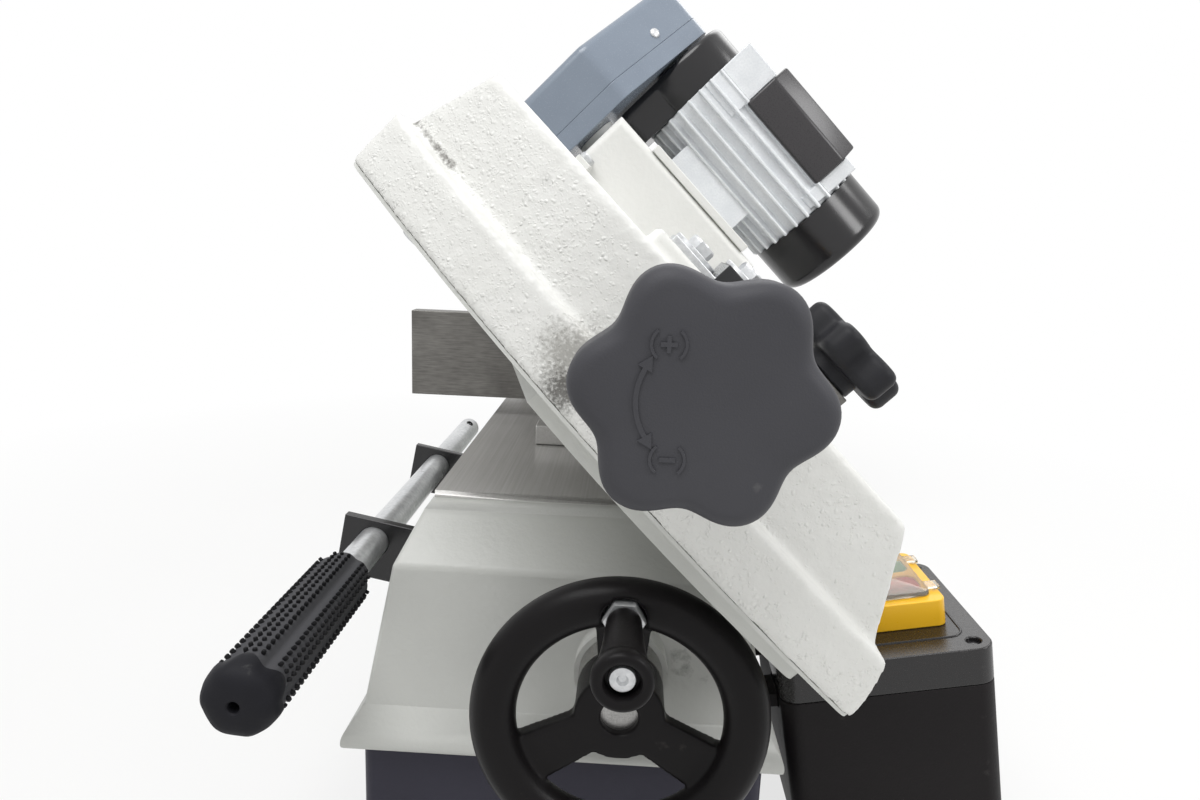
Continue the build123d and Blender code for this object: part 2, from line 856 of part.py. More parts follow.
def bow_frame():
    high_rim = Pos(0, 0, -rim_face) * extrude(bow_outline(0), rim_step_v + rim_face)
    back = Pos(0, 0, rim_step_v) * extrude(bow_outline(rim_step), back_v - rim_step_v)
    frame = high_rim + back - low_end_cut(0) - high_end_cut(0)
    pocket = Pos(0, 0, -rim_face) * extrude(bow_outline(rim_wall), pocket_v + rim_face)
    frame -= pocket - low_end_cut(rim_wall) - high_end_cut(rim_wall)
    frame += bow_pads()
    # Seat of the tension screw in the near end wall
    frame += rod_along_y(screw_pad_r, bow_near, bow_near + rim_wall, 0, 0)
    frame -= rod_along_y(tension_screw_r + running_gap, bow_near, idler_y, 0, 0)
    # Ways of the blade through both ends of the throat
    for wall in (throat_start - rim_wall, throat_end):
        frame -= span(wheel_r - blade_width, bow_low, wall, wall + rim_wall, -rim_face, -blade_width / 2)
    # Slot of the tension slide and bores in the web
    half = tongue_width / 2 + sliding_gap
    frame -= span(-half, half, idler_y - tongue_length / 2 - sliding_gap,
                  idler_y + tongue_length / 2 + tension_travel + sliding_gap, pocket_v, pad_v)
    frame -= rod_along_z(axle_r + running_gap, pocket_v, back_v, 0, drive_y)
    frame -= rod_along_z(guide_stud_r + running_gap, pocket_v, pad_v, bar_u, stud_y)
    for place in bow_bolt_places():
        frame -= place * bolt_hole(bow_bolt_length)
    for u, y in cover_screw_points():
        frame -= rod_along_z(cover_shank_r + running_gap, -rim_face, -rim_face + cover_screw_length, u, y)
    return bow_place * frame


def cover_plan(inset):
    # The bow's outline drawn in, with the near corner of its high side taken off.
    front = bow_near + cover_margin
    start = Vector(-cover_cut_u, front)
    end = Vector(cover_margin - bow_high, front + cover_cut_y)
    along = (end - start).normalized()
    inward = along.cross(Vector(0, 0, 1))
    near = start + inward * inset - along * bow_high
    far = end + inward * inset + along * bow_high
    corner = make_face(Polyline(near, far, far - inward * bow_high, near - inward * bow_high, close=True))
    return bow_outline(cover_margin + inset) - corner


def wheel_cover():
    pan = Pos(0, 0, -rim_face - cover_depth) * extrude(cover_plan(0), cover_depth)
    pan -= Pos(0, 0, -rim_face - cover_depth + cover_sheet) * extrude(cover_plan(cover_sheet), cover_depth)
    flange = Pos(0, 0, -rim_face - cover_sheet) * extrude(bow_outline(cover_edge), cover_sheet)
    flange -= Pos(0, 0, -rim_face - cover_depth) * extrude(cover_plan(cover_sheet), 2 * cover_depth)
    for wall in (throat_start - rim_wall, throat_end):
        flange -= span(wheel_r - blade_width, bow_low, wall, wall + rim_wall, -rim_face - cover_depth, 0)
    cover = pan + flange
    for u, y in cover_screw_points():
        cover -= rod_along_z(cover_shank_r + running_gap, -rim_face - cover_sheet, -rim_face, u, y)
    return bow_place * cover


def cover_screw_points():
    inner = rim_wall / 2
    return [
        (bow_low - inner - low_bevel / 4, throat_start - inner - bow_corner),
        (bow_low - inner - bow_corner, bow_far - inner),
        (-bow_high + inner, bow_far - inner - bow_corner),
        (-bow_high + inner, (throat_start + throat_end) / 2),
        (-cover_screw_u, bow_near + cover_screw_y),
    ]


def cover_screws():
    screws = []
    for u, y in cover_screw_points():
        seat = -rim_face - cover_sheet
        screw = rod_along_z(cover_shank_r, seat, -rim_face + cover_screw_length, u, y)
        screws.append(bow_place * (screw + rod_along_z(cover_screw_r, seat - cover_screw_head, seat, u, y)))
    return Compound(screws)


def bow_bolt_places():
    # Bolts of the gear case foot, the rear guide and the hinge arm, head side along +Z of each place.
    places = []
    for u in (-case_high + case_ear / 2, case_low - case_ear / 2):
        for y in (drive_y - case_near - case_ear / 2, drive_y + case_far + case_ear / 2):
            places.append(Pos(u, y, back_v + case_ear_thick))
    for i in (1, 2):
        along = throat_end + i * rear_bolt_pitch
        places.append(Pos(bar_u, along, bar_top - sliding_gap))
    for u in (arm_high_u + arm_plate, arm_low_u - arm_plate):
        places.append(Pos(u, bow_far + arm_plate, arm_bolt_v) * Rot(-90, 0, 0))
    return places


def bow_bolts():
    return Compound([bow_place * place * hex_bolt(bow_bolt_length) for place in bow_bolt_places()])


def hinge_arm():
    plate = span(arm_high_u, arm_low_u, bow_far, bow_far + arm_plate, -rim_face, back_v - rim_step)
    for place in bow_bolt_places():
        plate -= place * bolt_hole(bow_bolt_length)
    left = pivot_x - barrel_length / 2
    right = pivot_x + barrel_length / 2
    arm = bow_place * plate
    arm += span(left, right, bow_far, pivot_y, pivot_z - arm_plate, pivot_z + 2 * arm_plate)
    arm += rod_along_x(pivot_barrel_r, left, right, pivot_y, pivot_z)
    return arm - rod_along_x(pivot_pin_r + running_gap, left, right, pivot_y, pivot_z)


# Wheels and blade
def spoked_wheel(y, bore_r):
    wheel = Cylinder(wheel_r, wheel_thick) - Cylinder(wheel_r - wheel_rim, wheel_thick)
    wheel += Cylinder(wheel_r - wheel_rim / 2, wheel_plate)
    wheel += Cylinder(wheel_hub_r, wheel_thick)
    for i in range(wheel_holes):
        place = Rot(0, 0, 360 * i / wheel_holes) * Pos(wheel_hole_ring, 0, 0)
        wheel -= place * Cylinder(wheel_hole_r, wheel_thick)
    wheel -= Cylinder(bore_r, wheel_thick)
    return bow_place * Pos(0, y, wheel_v) * wheel


def idler_wheel():
    return spoked_wheel(idler_y, axle_r + running_gap)


def drive_wheel():
    return spoked_wheel(drive_y, axle_r + running_gap)


def saw_blade():
    # Loop in the wheel plane, with its working run twisted upright between the guides.
    plan = Rot(0, 0, 90) * SlotCenterToCenter(axle_distance, 2 * (blade_r + blade_thick))
    plan -= Rot(0, 0, 90) * SlotCenterToCenter(axle_distance, 2 * blade_r)
    middle = (idler_y + drive_y) / 2
    loop = Pos(0, middle, wheel_v - blade_width / 2) * extrude(plan, blade_width)
    loop -= span(0, 2 * blade_r, idler_y, drive_y, wheel_v - blade_width, wheel_v + blade_width)

    def section(y, turn):
        across = (cos(radians(turn)), 0, sin(radians(turn)))
        place = Plane(origin=(blade_u, y, wheel_v), x_dir=across, z_dir=(0, 1, 0))
        return place * Rectangle(blade_thick, blade_width)

    stops = [(idler_y, 0), (guide_open_y, bow_tilt), (rear_guide_y + guide_plate, bow_tilt), (drive_y, 0)]
    for (y0, turn0), (y1, turn1) in zip(stops, stops[1:]):
        loop += loft([section(y0, turn0), section(y1, turn1)], ruled=True)
    return bow_place * loop


# Blade tension
def tension_knob():
    knob = lobed_knob(knob_lobe_r, knob_valley_r, knob_lobes, knob_turn, knob_thick, knob_edge)
    knob -= rod_along_z(tension_screw_r + running_gap, 0, knob_screw_depth, 0, 0)
    back = bow_near - knob_stand_off
    return Pos(bow_x, back, bow_z) * Rot(90, 0, 0) * knob


def tension_screw():
    back = bow_near - knob_stand_off
    screw = rod_along_y(tension_screw_r, back - knob_screw_depth, idler_y + slide_length / 4, 0, 0)
    screw += rod_along_y(collar_r, back, bow_near - sliding_gap, 0, 0)
    return bow_place * screw


def idler_slide():
    top = pocket_v - sliding_gap
    base = top - slide_drop
    block = span(-slide_width / 2, slide_width / 2, -slide_length / 2, slide_length / 2, base, top)
    half_tongue = tongue_width / 2
    half_length = tongue_length / 2
    block += span(-half_tongue, half_tongue, -half_length, half_length, top, pad_v + sliding_gap)
    block -= rod_along_y(tension_screw_r + running_gap, -slide_length / 2, slide_length / 2, 0, 0)
    return bow_place * Pos(0, idler_y, 0) * block


def idler_axle():
    seat = pocket_v - sliding_gap - slide_drop
    end = wheel_v - wheel_thick / 2 - sliding_gap
    axle = rod_along_z(axle_r, end - axle_washer, seat, 0, idler_y)
    return bow_place * (axle + rod_along_z(axle_washer_r, end - axle_washer, end, 0, idler_y))


def slide_clamp():
    base = pad_v + sliding_gap
    half = clamp_length / 2
    clamp = span(clamp_high_u, clamp_low_u, idler_y - half, idler_y + half, base, base + clamp_plate)
    clamp += span(clamp_step_u, clamp_low_u, idler_y - half, idler_y + half, base, base + clamp_block)
    for place in clamp_bolt_places():
        clamp -= place * bolt_hole(clamp_block)
    return bow_place * clamp


def clamp_bolt_places():
    base = pad_v + sliding_gap
    low = Pos((clamp_high_u + clamp_step_u) / 2, idler_y, base + clamp_plate)
    high = Pos((clamp_step_u + clamp_low_u) / 2, idler_y, base + clamp_block)
    return [low, high]


def slide_bolts():
    depths = (clamp_plate, clamp_block)
    bolts = []
    for place, depth in zip(clamp_bolt_places(), depths):
        bolts.append(bow_place * place * hex_bolt(depth, washer=True))
    return Compound(bolts)


# Gear case
def gear_case():
    near = drive_y - case_near
    far = drive_y + case_far
    case = span(-case_high, case_low, near, far, back_v, case_top)
    corners = case.edges().filter_by(Axis.Z) + case.edges().filter_by(Axis.X).sort_by(Axis.Z)[-2:]
    case = fillet(corners, case_round)
    for u in (-case_high, case_low - case_ear):
        case += span(u, u + case_ear, near - case_ear, far + case_ear, back_v, back_v + case_ear_thick)
    case += rod_along_x(worm_boss_r, guard_inner_u, -case_high, worm_y, worm_v)
    case -= span(-case_high + case_wall, case_low - case_wall, near + case_wall, far - case_wall,
                 back_v, case_top - case_wall)
    case -= rod_along_x(shaft_r + running_gap, guard_inner_u, case_low - case_wall / 2, worm_y, worm_v)
    for place in bow_bolt_places():
        case -= place * bolt_hole(bow_bolt_length)
    return bow_place * case


def drive_shaft():
    low = wheel_v - wheel_thick / 2 - axle_washer
    high = worm_v + gear_thick / 2
    shaft = rod_along_z(axle_r, low, high, 0, drive_y)
    end = wheel_v - wheel_thick / 2
    return bow_place * (shaft + rod_along_z(axle_washer_r, low, end, 0, drive_y))


def worm_gear():
    points = []
    for i in range(4 * gear_teeth):
        r = gear_r if i % 4 < 2 else gear_r - tooth_depth
        a = 2 * pi * i / (4 * gear_teeth)
        points.append((r * cos(a), r * sin(a)))
    gear = extrude(make_face(Polyline(points, close=True)), gear_thick)
    gear -= rod_along_z(axle_r + running_gap, 0, gear_thick, 0, 0)
    return bow_place * Pos(0, drive_y, worm_v - gear_thick / 2) * gear


def worm_shaft():
    end = belt_u - pulley_width / 2
    shaft = rod_along_x(shaft_r, end, case_low - case_wall / 2 - sliding_gap, worm_y, worm_v)
    return bow_place * (shaft + rod_along_x(worm_r, -gear_r, gear_r, worm_y, worm_v))


# Belt drive
def pulley(radius):
    half = pulley_width / 2
    floor = radius - groove_depth
    wheel = turned([(0, -half), (radius, -half), (radius, -groove_mouth / 2), (floor, -groove_floor / 2),
                    (floor, groove_floor / 2), (radius, groove_mouth / 2), (radius, half), (0, half)])
    return wheel - Cylinder(shaft_r + running_gap, pulley_width)


def motor_pulley():
    return bow_place * Pos(belt_u, motor_y, motor_v) * Rot(0, 90, 0) * pulley(motor_pulley_r)


def driven_pulley():
    return bow_place * Pos(belt_u, worm_y, worm_v) * Rot(0, 90, 0) * pulley(driven_pulley_r)


def belt_hull(extra):
    motor = Pos(motor_y, motor_v) * Circle(motor_pulley_r - groove_depth + sliding_gap + extra)
    driven = Pos(worm_y, worm_v) * Circle(driven_pulley_r - groove_depth + sliding_gap + extra)
    return make_hull(motor.edges() + driven.edges())


def drive_belt():
    ring = belt_hull(belt_thick) - belt_hull(0)
    place = Plane(origin=(belt_u - belt_width / 2, 0, 0), x_dir=(0, 1, 0), z_dir=(1, 0, 0))
    return bow_place * extrude(place * ring, belt_width)


def guard_plan(inset, u):
    # Flat sides round both pulleys, bent where the near side leans towards the motor.
    low = worm_v - driven_pulley_r - guard_margin
    high = motor_v + motor_pulley_r + guard_margin
    far = motor_y + motor_pulley_r + guard_margin
    near = worm_y - driven_pulley_r - guard_margin
    corners = [
        (near, low),
        (near, worm_v + driven_pulley_r),
        (motor_y - motor_pulley_r, high),
        (far, high),
        (far, motor_v - motor_pulley_r),
        (worm_y + driven_pulley_r + guard_margin, low),
    ]
    plan = make_face(Polyline(corners, close=True))
    plan = fillet(plan.vertices(), guard_corner)
    place = Plane(origin=(u, 0, 0), x_dir=(0, 1, 0), z_dir=(1, 0, 0))
    return place * (offset(plan, -inset) if inset else plan)


def pulley_cover():
    depth = guard_seam_u - guard_outer_u
    shell = extrude(guard_plan(0, guard_outer_u), depth)
    outer_rim = shell.edges().group_by(Axis.X)[0]
    shell = fillet(outer_rim, guard_corner / 2)
    shell -= extrude(guard_plan(guard_sheet, guard_outer_u + guard_corner / 2), depth)
    inner = guard_corner / 2 + guard_sheet
    shell -= extrude(guard_plan(inner, guard_outer_u + guard_sheet), depth)
    return bow_place * shell


def pulley_tray():
    depth = guard_inner_u - guard_seam_u
    shell = extrude(guard_plan(0, guard_seam_u), depth)
    shell -= extrude(guard_plan(guard_sheet, guard_seam_u), depth - guard_sheet)
    for y, v in ((motor_y, motor_v), (worm_y, worm_v)):
        shell -= rod_along_x(shaft_r + guard_sheet, guard_seam_u, guard_inner_u, y, v)
    return bow_place * shell


# Motor
def motor_housing():
    body = rod_along_x(motor_r, -motor_high, motor_low, motor_y, motor_v)
    reach = motor_r + fin_height
    for i in range(fin_count):
        fin = span(-motor_high, motor_low, -fin_thick / 2, fin_thick / 2, motor_r - motor_wall, reach)
        body += Pos(0, motor_y, motor_v) * Rot(360 * (i + 0.5) / fin_count, 0, 0) * fin
    body += span(-foot_high, foot_low, motor_y - foot_width / 2, motor_y + foot_width / 2,
                 case_top + motor_plate, motor_v - motor_r / 2)
    # Raised blocks at both ends of the capacitor box
    high_block = (-motor_high, -capacitor_high - sliding_gap)
    low_block = (capacitor_low + sliding_gap, saddle_low)
    for start, end in (high_block, low_block):
        body += span(start, end, motor_y - saddle_near, motor_y - capacitor_far, motor_v, saddle_top)
    body += rod_along_x(worm_boss_r, guard_inner_u, -motor_high, motor_y, motor_v)
    inner_r = motor_r - motor_wall
    body -= rod_along_x(inner_r, -motor_high + motor_wall, motor_low - motor_wall, motor_y, motor_v)
    body -= rod_along_x(shaft_r + running_gap, guard_inner_u, motor_low, motor_y, motor_v)
    return bow_place * body


def motor_base():
    near = drive_y - case_near
    far = motor_y + foot_width / 2
    top = case_top + motor_plate
    return bow_place * span(-foot_high - case_ear, foot_low + case_ear, near, far, case_top, top)


def motor_rotor():
    fan_u = motor_low + fan_cover_length / 2
    shaft = rod_along_x(shaft_r, belt_u - pulley_width / 2, fan_u + fan_thick, motor_y, motor_v)
    shaft += rod_along_x(rotor_r, -motor_high + 3 * motor_wall, motor_low - 3 * motor_wall, motor_y, motor_v)
    fan = rod_along_x(fan_r, fan_u - fan_thick / 2, fan_u + fan_thick / 2, motor_y, motor_v)
    return bow_place * (shaft + fan)


def fan_cover():
    cup = rod_along_x(fan_cover_r, 0, fan_cover_length, 0, 0)
    cup = fillet(cup.edges().sort_by(Axis.X)[-1], fan_cover_round)
    floor = fan_cover_length - fan_cover_sheet
    hollow = rod_along_x(fan_cover_r - fan_cover_sheet, 0, floor, 0, 0)
    cup -= fillet(hollow.edges().sort_by(Axis.X)[-1], fan_cover_round - fan_cover_sheet)
    for ring in range(1, vent_rings + 1):
        count = 6 * ring
        for i in range(count):
            a = 2 * pi * i / count
            reach = ring * vent_pitch
            cup -= rod_along_x(vent_r, floor, fan_cover_length, reach * cos(a), reach * sin(a))
    return bow_place * Pos(motor_low, motor_y, motor_v) * cup


def capacitor_box():
    # Rounded box on the near shoulder of the motor, hollowed below to sit over the fins.
    box = span(-capacitor_high, capacitor_low, motor_y - capacitor_near, motor_y - capacitor_far,
               capacitor_base, capacitor_top)
    edges = box.edges().filter_by(Axis.Z) + box.edges().group_by(Axis.Z)[-1]
    box = fillet(edges, capacitor_round)
    fins_r = motor_r + fin_height + sliding_gap
    return bow_place * (box - rod_along_x(fins_r, -motor_high, motor_low, motor_y, motor_v))


# Blade guides
def guide_head(y):
    # Upright plate over the blade with the studs of its two rollers.
    low = blade_z + blade_width / 2 + guide_back_gap
    high = bow_z + (bar_top - bar_u) * tilt_c
    head = span(blade_x - guide_left, blade_x + guide_right, y, y + guide_plate, low, high)
    for side in (-1, 1):
        x = blade_x + side * roller_offset
        bottom = blade_z + blade_width / 2 - roller_height - sliding_gap
        head += rod_along_z(roller_stud_r, bottom, low, x, y + guide_plate / 2)
        head += rod_along_z(stud_head_r, bottom - stud_head, bottom, x, y + guide_plate / 2)
    return head


def guide_bar(y0, y1):
    return span(bar_u - bar_width / 2, bar_u + bar_width / 2, y0, y1, bar_top - bar_thick, bar_top)


def front_guide_arm():
    slot = guide_stud_r + sliding_gap
    bar = guide_bar(bar_near, front_guide_y + guide_plate)
    bar -= span(bar_u - slot, bar_u + slot, stud_y - slot, stud_y + guide_travel + slot, pad_v, bar_top)
    return bow_place * bar + guide_head(front_guide_y)


def rear_guide_arm():
    lift = Pos(0, 0, -sliding_gap)
    bar = lift * guide_bar(rear_guide_y, throat_end + rear_bar_length)
    for place in bow_bolt_places():
        bar -= place * bolt_hole(bow_bolt_length)
    return bow_place * bar + guide_head(rear_guide_y)


def guide_roller(y, side):
    x = blade_x + side * roller_offset
    top = blade_z + blade_width / 2
    base = top - roller_height
    middle = y + guide_plate / 2
    roller = rod_along_z(roller_r, base, top, x, middle)
    return roller - rod_along_z(roller_stud_r + running_gap, base, top, x, middle)


def guide_knob():
    seat = bar_top + sliding_gap
    head = lobed_knob(guide_knob_r, guide_knob_valley_r, knob_lobes, 0, guide_knob_thick, knob_edge)
    knob = Pos(0, 0, seat + guide_boss) * head
    knob += rod_along_z(guide_boss_r, seat, seat + guide_boss + knob_edge, 0, 0)
    knob += rod_along_z(guide_stud_r, pocket_v, seat, 0, 0)
    return bow_place * Pos(bar_u, stud_y, 0) * knob


nodes = {
    "stand_top": stand_top, "base_casting": base_casting, "base_bolts": base_bolts,
    "pivot_support": pivot_support, "pivot_pin": pivot_pin, "fixed_jaw": fixed_jaw,
    "vise_carriage": vise_carriage, "vise_nut": vise_nut, "movable_jaw": movable_jaw,
    "vise_screw": vise_screw, "vise_handwheel": vise_handwheel, "crank_spindle": crank_spindle,
    "crank_grip": crank_grip, "handle_brackets": handle_brackets, "handle_rod": handle_rod,
    "handle_grip": handle_grip, "control_box": control_box, "control_box_lid": control_box_lid,
    "lid_screws": lid_screws, "cable_gland": cable_gland, "switch_frame": switch_frame,
    "switch_flap": switch_flap, "bow_frame": bow_frame, "wheel_cover": wheel_cover,
    "cover_screws": cover_screws, "bow_bolts": bow_bolts, "hinge_arm": hinge_arm,
    "idler_wheel": idler_wheel, "drive_wheel": drive_wheel, "saw_blade": saw_blade,
    "tension_knob": tension_knob, "tension_screw": tension_screw, "idler_slide": idler_slide,
    "idler_axle": idler_axle, "slide_clamp": slide_clamp, "slide_bolts": slide_bolts,
    "gear_case": gear_case, "drive_shaft": drive_shaft, "worm_gear": worm_gear, "worm_shaft": worm_shaft,
    "motor_pulley": motor_pulley, "driven_pulley": driven_pulley, "drive_belt": drive_belt,
    "pulley_cover": pulley_cover, "pulley_tray": pulley_tray, "motor_housing": motor_housing,
    "motor_base": motor_base, "motor_rotor": motor_rotor, "fan_cover": fan_cover,
    "capacitor_box": capacitor_box, "front_guide_arm": front_guide_arm, "rear_guide_arm": rear_guide_arm,
    "guide_knob": guide_knob,
}

pieces = {name: make() for name, make in nodes.items()}
pieces["stop_button"] = push_button(-1)
pieces["start_button"] = push_button(1)
for end, guide_y in (("front", front_guide_y), ("rear", rear_guide_y)):
    for side, label in ((-1, "left"), (1, "right")):
        pieces[f"{end}_{label}_roller"] = guide_roller(guide_y, side)

os.makedirs("parts", exist_ok=True)
for name, piece in pieces.items():
    export_step(piece, f"parts/{name}.step")
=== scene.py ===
import json
from math import cos, pi, radians, sin

import bmesh
import bpy
from mathutils import Matrix, Vector


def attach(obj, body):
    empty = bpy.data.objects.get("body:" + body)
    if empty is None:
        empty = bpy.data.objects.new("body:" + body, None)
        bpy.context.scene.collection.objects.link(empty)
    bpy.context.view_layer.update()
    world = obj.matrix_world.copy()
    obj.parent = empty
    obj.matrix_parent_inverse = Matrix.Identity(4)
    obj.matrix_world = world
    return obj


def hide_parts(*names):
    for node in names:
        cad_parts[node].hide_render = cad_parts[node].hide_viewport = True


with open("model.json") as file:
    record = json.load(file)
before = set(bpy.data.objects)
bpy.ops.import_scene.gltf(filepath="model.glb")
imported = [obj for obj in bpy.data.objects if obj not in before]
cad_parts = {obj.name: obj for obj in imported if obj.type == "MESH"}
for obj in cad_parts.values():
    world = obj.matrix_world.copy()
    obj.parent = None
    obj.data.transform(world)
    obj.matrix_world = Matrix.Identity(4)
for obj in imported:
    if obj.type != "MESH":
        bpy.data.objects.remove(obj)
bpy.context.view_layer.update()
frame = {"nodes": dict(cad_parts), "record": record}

mm = 0.001
nodes = frame["nodes"]
bodyOf = {n: b for b, ns in frame["record"]["behaviour"]["bodies"].items() for n in ns}
slotOf = {s["node"]: s["material_slot"] for s in frame["record"]["subparts"]}

# The bow's own axes: u towards the cut, v towards its back, from the tension screw.
bow = {"x": 47, "z": 283, "tilt": 45}
bowPlace = (Matrix.Translation((bow["x"] * mm, 0, bow["z"] * mm))
            @ Matrix.Rotation(radians(bow["tilt"]), 4, "Y"))


def linear(hexCode):
    parts = [int(hexCode[i:i + 2], 16) / 255 for i in (1, 3, 5)]
    return [c / 12.92 if c <= 0.04045 else ((c + 0.055) / 1.055) ** 2.4 for c in parts] + [1]


# camera
camera = {"at": (24, -720, 332), "lens": 24.9, "film": 36, "near": 0.01, "pitch": 11.6, "yaw": 1.9, "roll": 2.3}


def makeCamera(spec):
    pitch, yaw, roll = (radians(spec[k]) for k in ("pitch", "yaw", "roll"))
    forward = Vector((-sin(yaw) * cos(pitch), cos(yaw) * cos(pitch), -sin(pitch)))
    level = Vector((cos(yaw), sin(yaw), 0))
    over = level.cross(forward)
    right = level * cos(roll) + over * sin(roll)
    up = over * cos(roll) - level * sin(roll)
    data = bpy.data.cameras.new("photoCamera")
    data.lens = spec["lens"]
    data.sensor_width = spec["film"]
    data.sensor_fit = "HORIZONTAL"
    data.clip_start = spec["near"]
    obj = bpy.data.objects.new("photoCamera", data)
    obj.matrix_world = Matrix((right, up, -forward)).transposed().to_4x4()
    obj.location = Vector(spec["at"]) * mm
    bpy.context.scene.collection.objects.link(obj)
    bpy.context.scene.camera = obj


makeCamera(camera)
bpy.context.scene.view_settings.view_transform = "Standard"
print("camera set")


# materials
def addNode(tree, kind, ins=None, **settings):
    node = tree.nodes.new(kind)
    for key, value in settings.items():
        setattr(node, key, value)
    for key, value in (ins or {}).items():
        if isinstance(value, bpy.types.NodeSocket):
            tree.links.new(value, node.inputs[key])
        else:
            node.inputs[key].default_value = value
    return node


def newMaterial(name):
    material = bpy.data.materials.new(name)
    material.use_nodes = True
    tree = material.node_tree
    tree.nodes.clear()
    shader = addNode(tree, "ShaderNodeBsdfPrincipled")
    addNode(tree, "ShaderNodeOutputMaterial", {"Surface": shader.outputs[0]})
    place = addNode(tree, "ShaderNodeTexCoord").outputs["Object"]
    return material, tree, shader, place


def nodesOf(material):
    # a finished material's tree, its shader and the place on the object
    tree = material.node_tree
    shader = next(n for n in tree.nodes if n.type == "BSDF_PRINCIPLED")
    place = next(n for n in tree.nodes if n.type == "TEX_COORD").outputs["Object"]
    return tree, shader, place


grimeAndShadeFade = 0.2  # share of noise over which grime, or painted shade, comes in


def grimeAndShadeMarks(tree, place, colour, marks):
    # Grime rubbed in round known spots, and painted shade along a line where a groove lies in shadow, both
    # broken into specks by the skin.
    for mark in marks:
        nearest = [c * mm for c in mark["at"]]
        if "to" in mark:
            run = (Vector(mark["to"]) - Vector(mark["at"])) * mm
            start = addNode(tree, "ShaderNodeVectorMath", {0: place, 1: nearest}, operation="SUBTRACT")
            along = addNode(tree, "ShaderNodeVectorMath", {0: start.outputs[0], 1: run / run.length_squared},
                            operation="DOT_PRODUCT")
            held = addNode(tree, "ShaderNodeClamp", {"Value": along.outputs["Value"]})
            step = addNode(tree, "ShaderNodeVectorMath", {0: run, "Scale": held.outputs[0]}, operation="SCALE")
            nearest = addNode(tree, "ShaderNodeVectorMath", {0: step.outputs[0], 1: nearest}).outputs[0]
        off = addNode(tree, "ShaderNodeVectorMath", {0: place, 1: nearest}, operation="DISTANCE")
        near = addNode(tree, "ShaderNodeMapRange",
                       {"Value": off.outputs["Value"], "From Max": mark["reach"] * mm, "To Min": 1.0,
                        "To Max": 0.0})
        specks = addNode(tree, "ShaderNodeTexNoise", {"Vector": place, "Scale": 1000 / mark["speckMm"],
                                                      "Detail": 6.0, "Roughness": 0.62})
        both = addNode(tree, "ShaderNodeMath", {0: near.outputs[0], 1: specks.outputs["Fac"]},
                       operation="MULTIPLY")
        share = addNode(tree, "ShaderNodeMapRange", {"Value": both.outputs[0], "From Min": mark["from"],
                                                     "From Max": mark["from"] + grimeAndShadeFade,
                                                     "To Max": mark["amount"]})
        mix = addNode(tree, "ShaderNodeMix", {0: share.outputs[0], 6: colour, 7: linear(mark["colour"])},
                      data_type="RGBA")
        colour = mix.outputs[2]
    return colour


# where a blister's dome begins and ends, as shares of its cell, and the width in mm that has full height
blister = {"top": 0.1, "foot": 0.55, "full": 2.2}


def blisters(tree, place, sizeMm, share):
    # domes of odd heights on some of the cells, the wide ones higher
    cells = addNode(tree, "ShaderNodeTexVoronoi", {"Vector": place, "Scale": 1000 / sizeMm})
    top, foot = blister["top"], blister["foot"]
    dome = addNode(tree, "ShaderNodeMapRange",
                   {"Value": cells.outputs["Distance"], "From Min": top, "From Max": foot, "To Min": 1.0,
                    "To Max": 0.0}, interpolation_type="SMOOTHSTEP")
    chance = addNode(tree, "ShaderNodeSeparateColor", {"Color": cells.outputs["Color"]})
    kept = addNode(tree, "ShaderNodeMath", {0: chance.outputs[0], 1: share}, operation="LESS_THAN")
    lumps = addNode(tree, "ShaderNodeMath", {0: dome.outputs[0], 1: kept.outputs[0]}, operation="MULTIPLY")
    tall = addNode(tree, "ShaderNodeMath", {0: lumps.outputs[0], 1: chance.outputs[1]}, operation="MULTIPLY")
    high = addNode(tree, "ShaderNodeMath", {0: tall.outputs[0], 1: sizeMm / blister["full"]},
                   operation="MULTIPLY")
    return high.outputs[0]


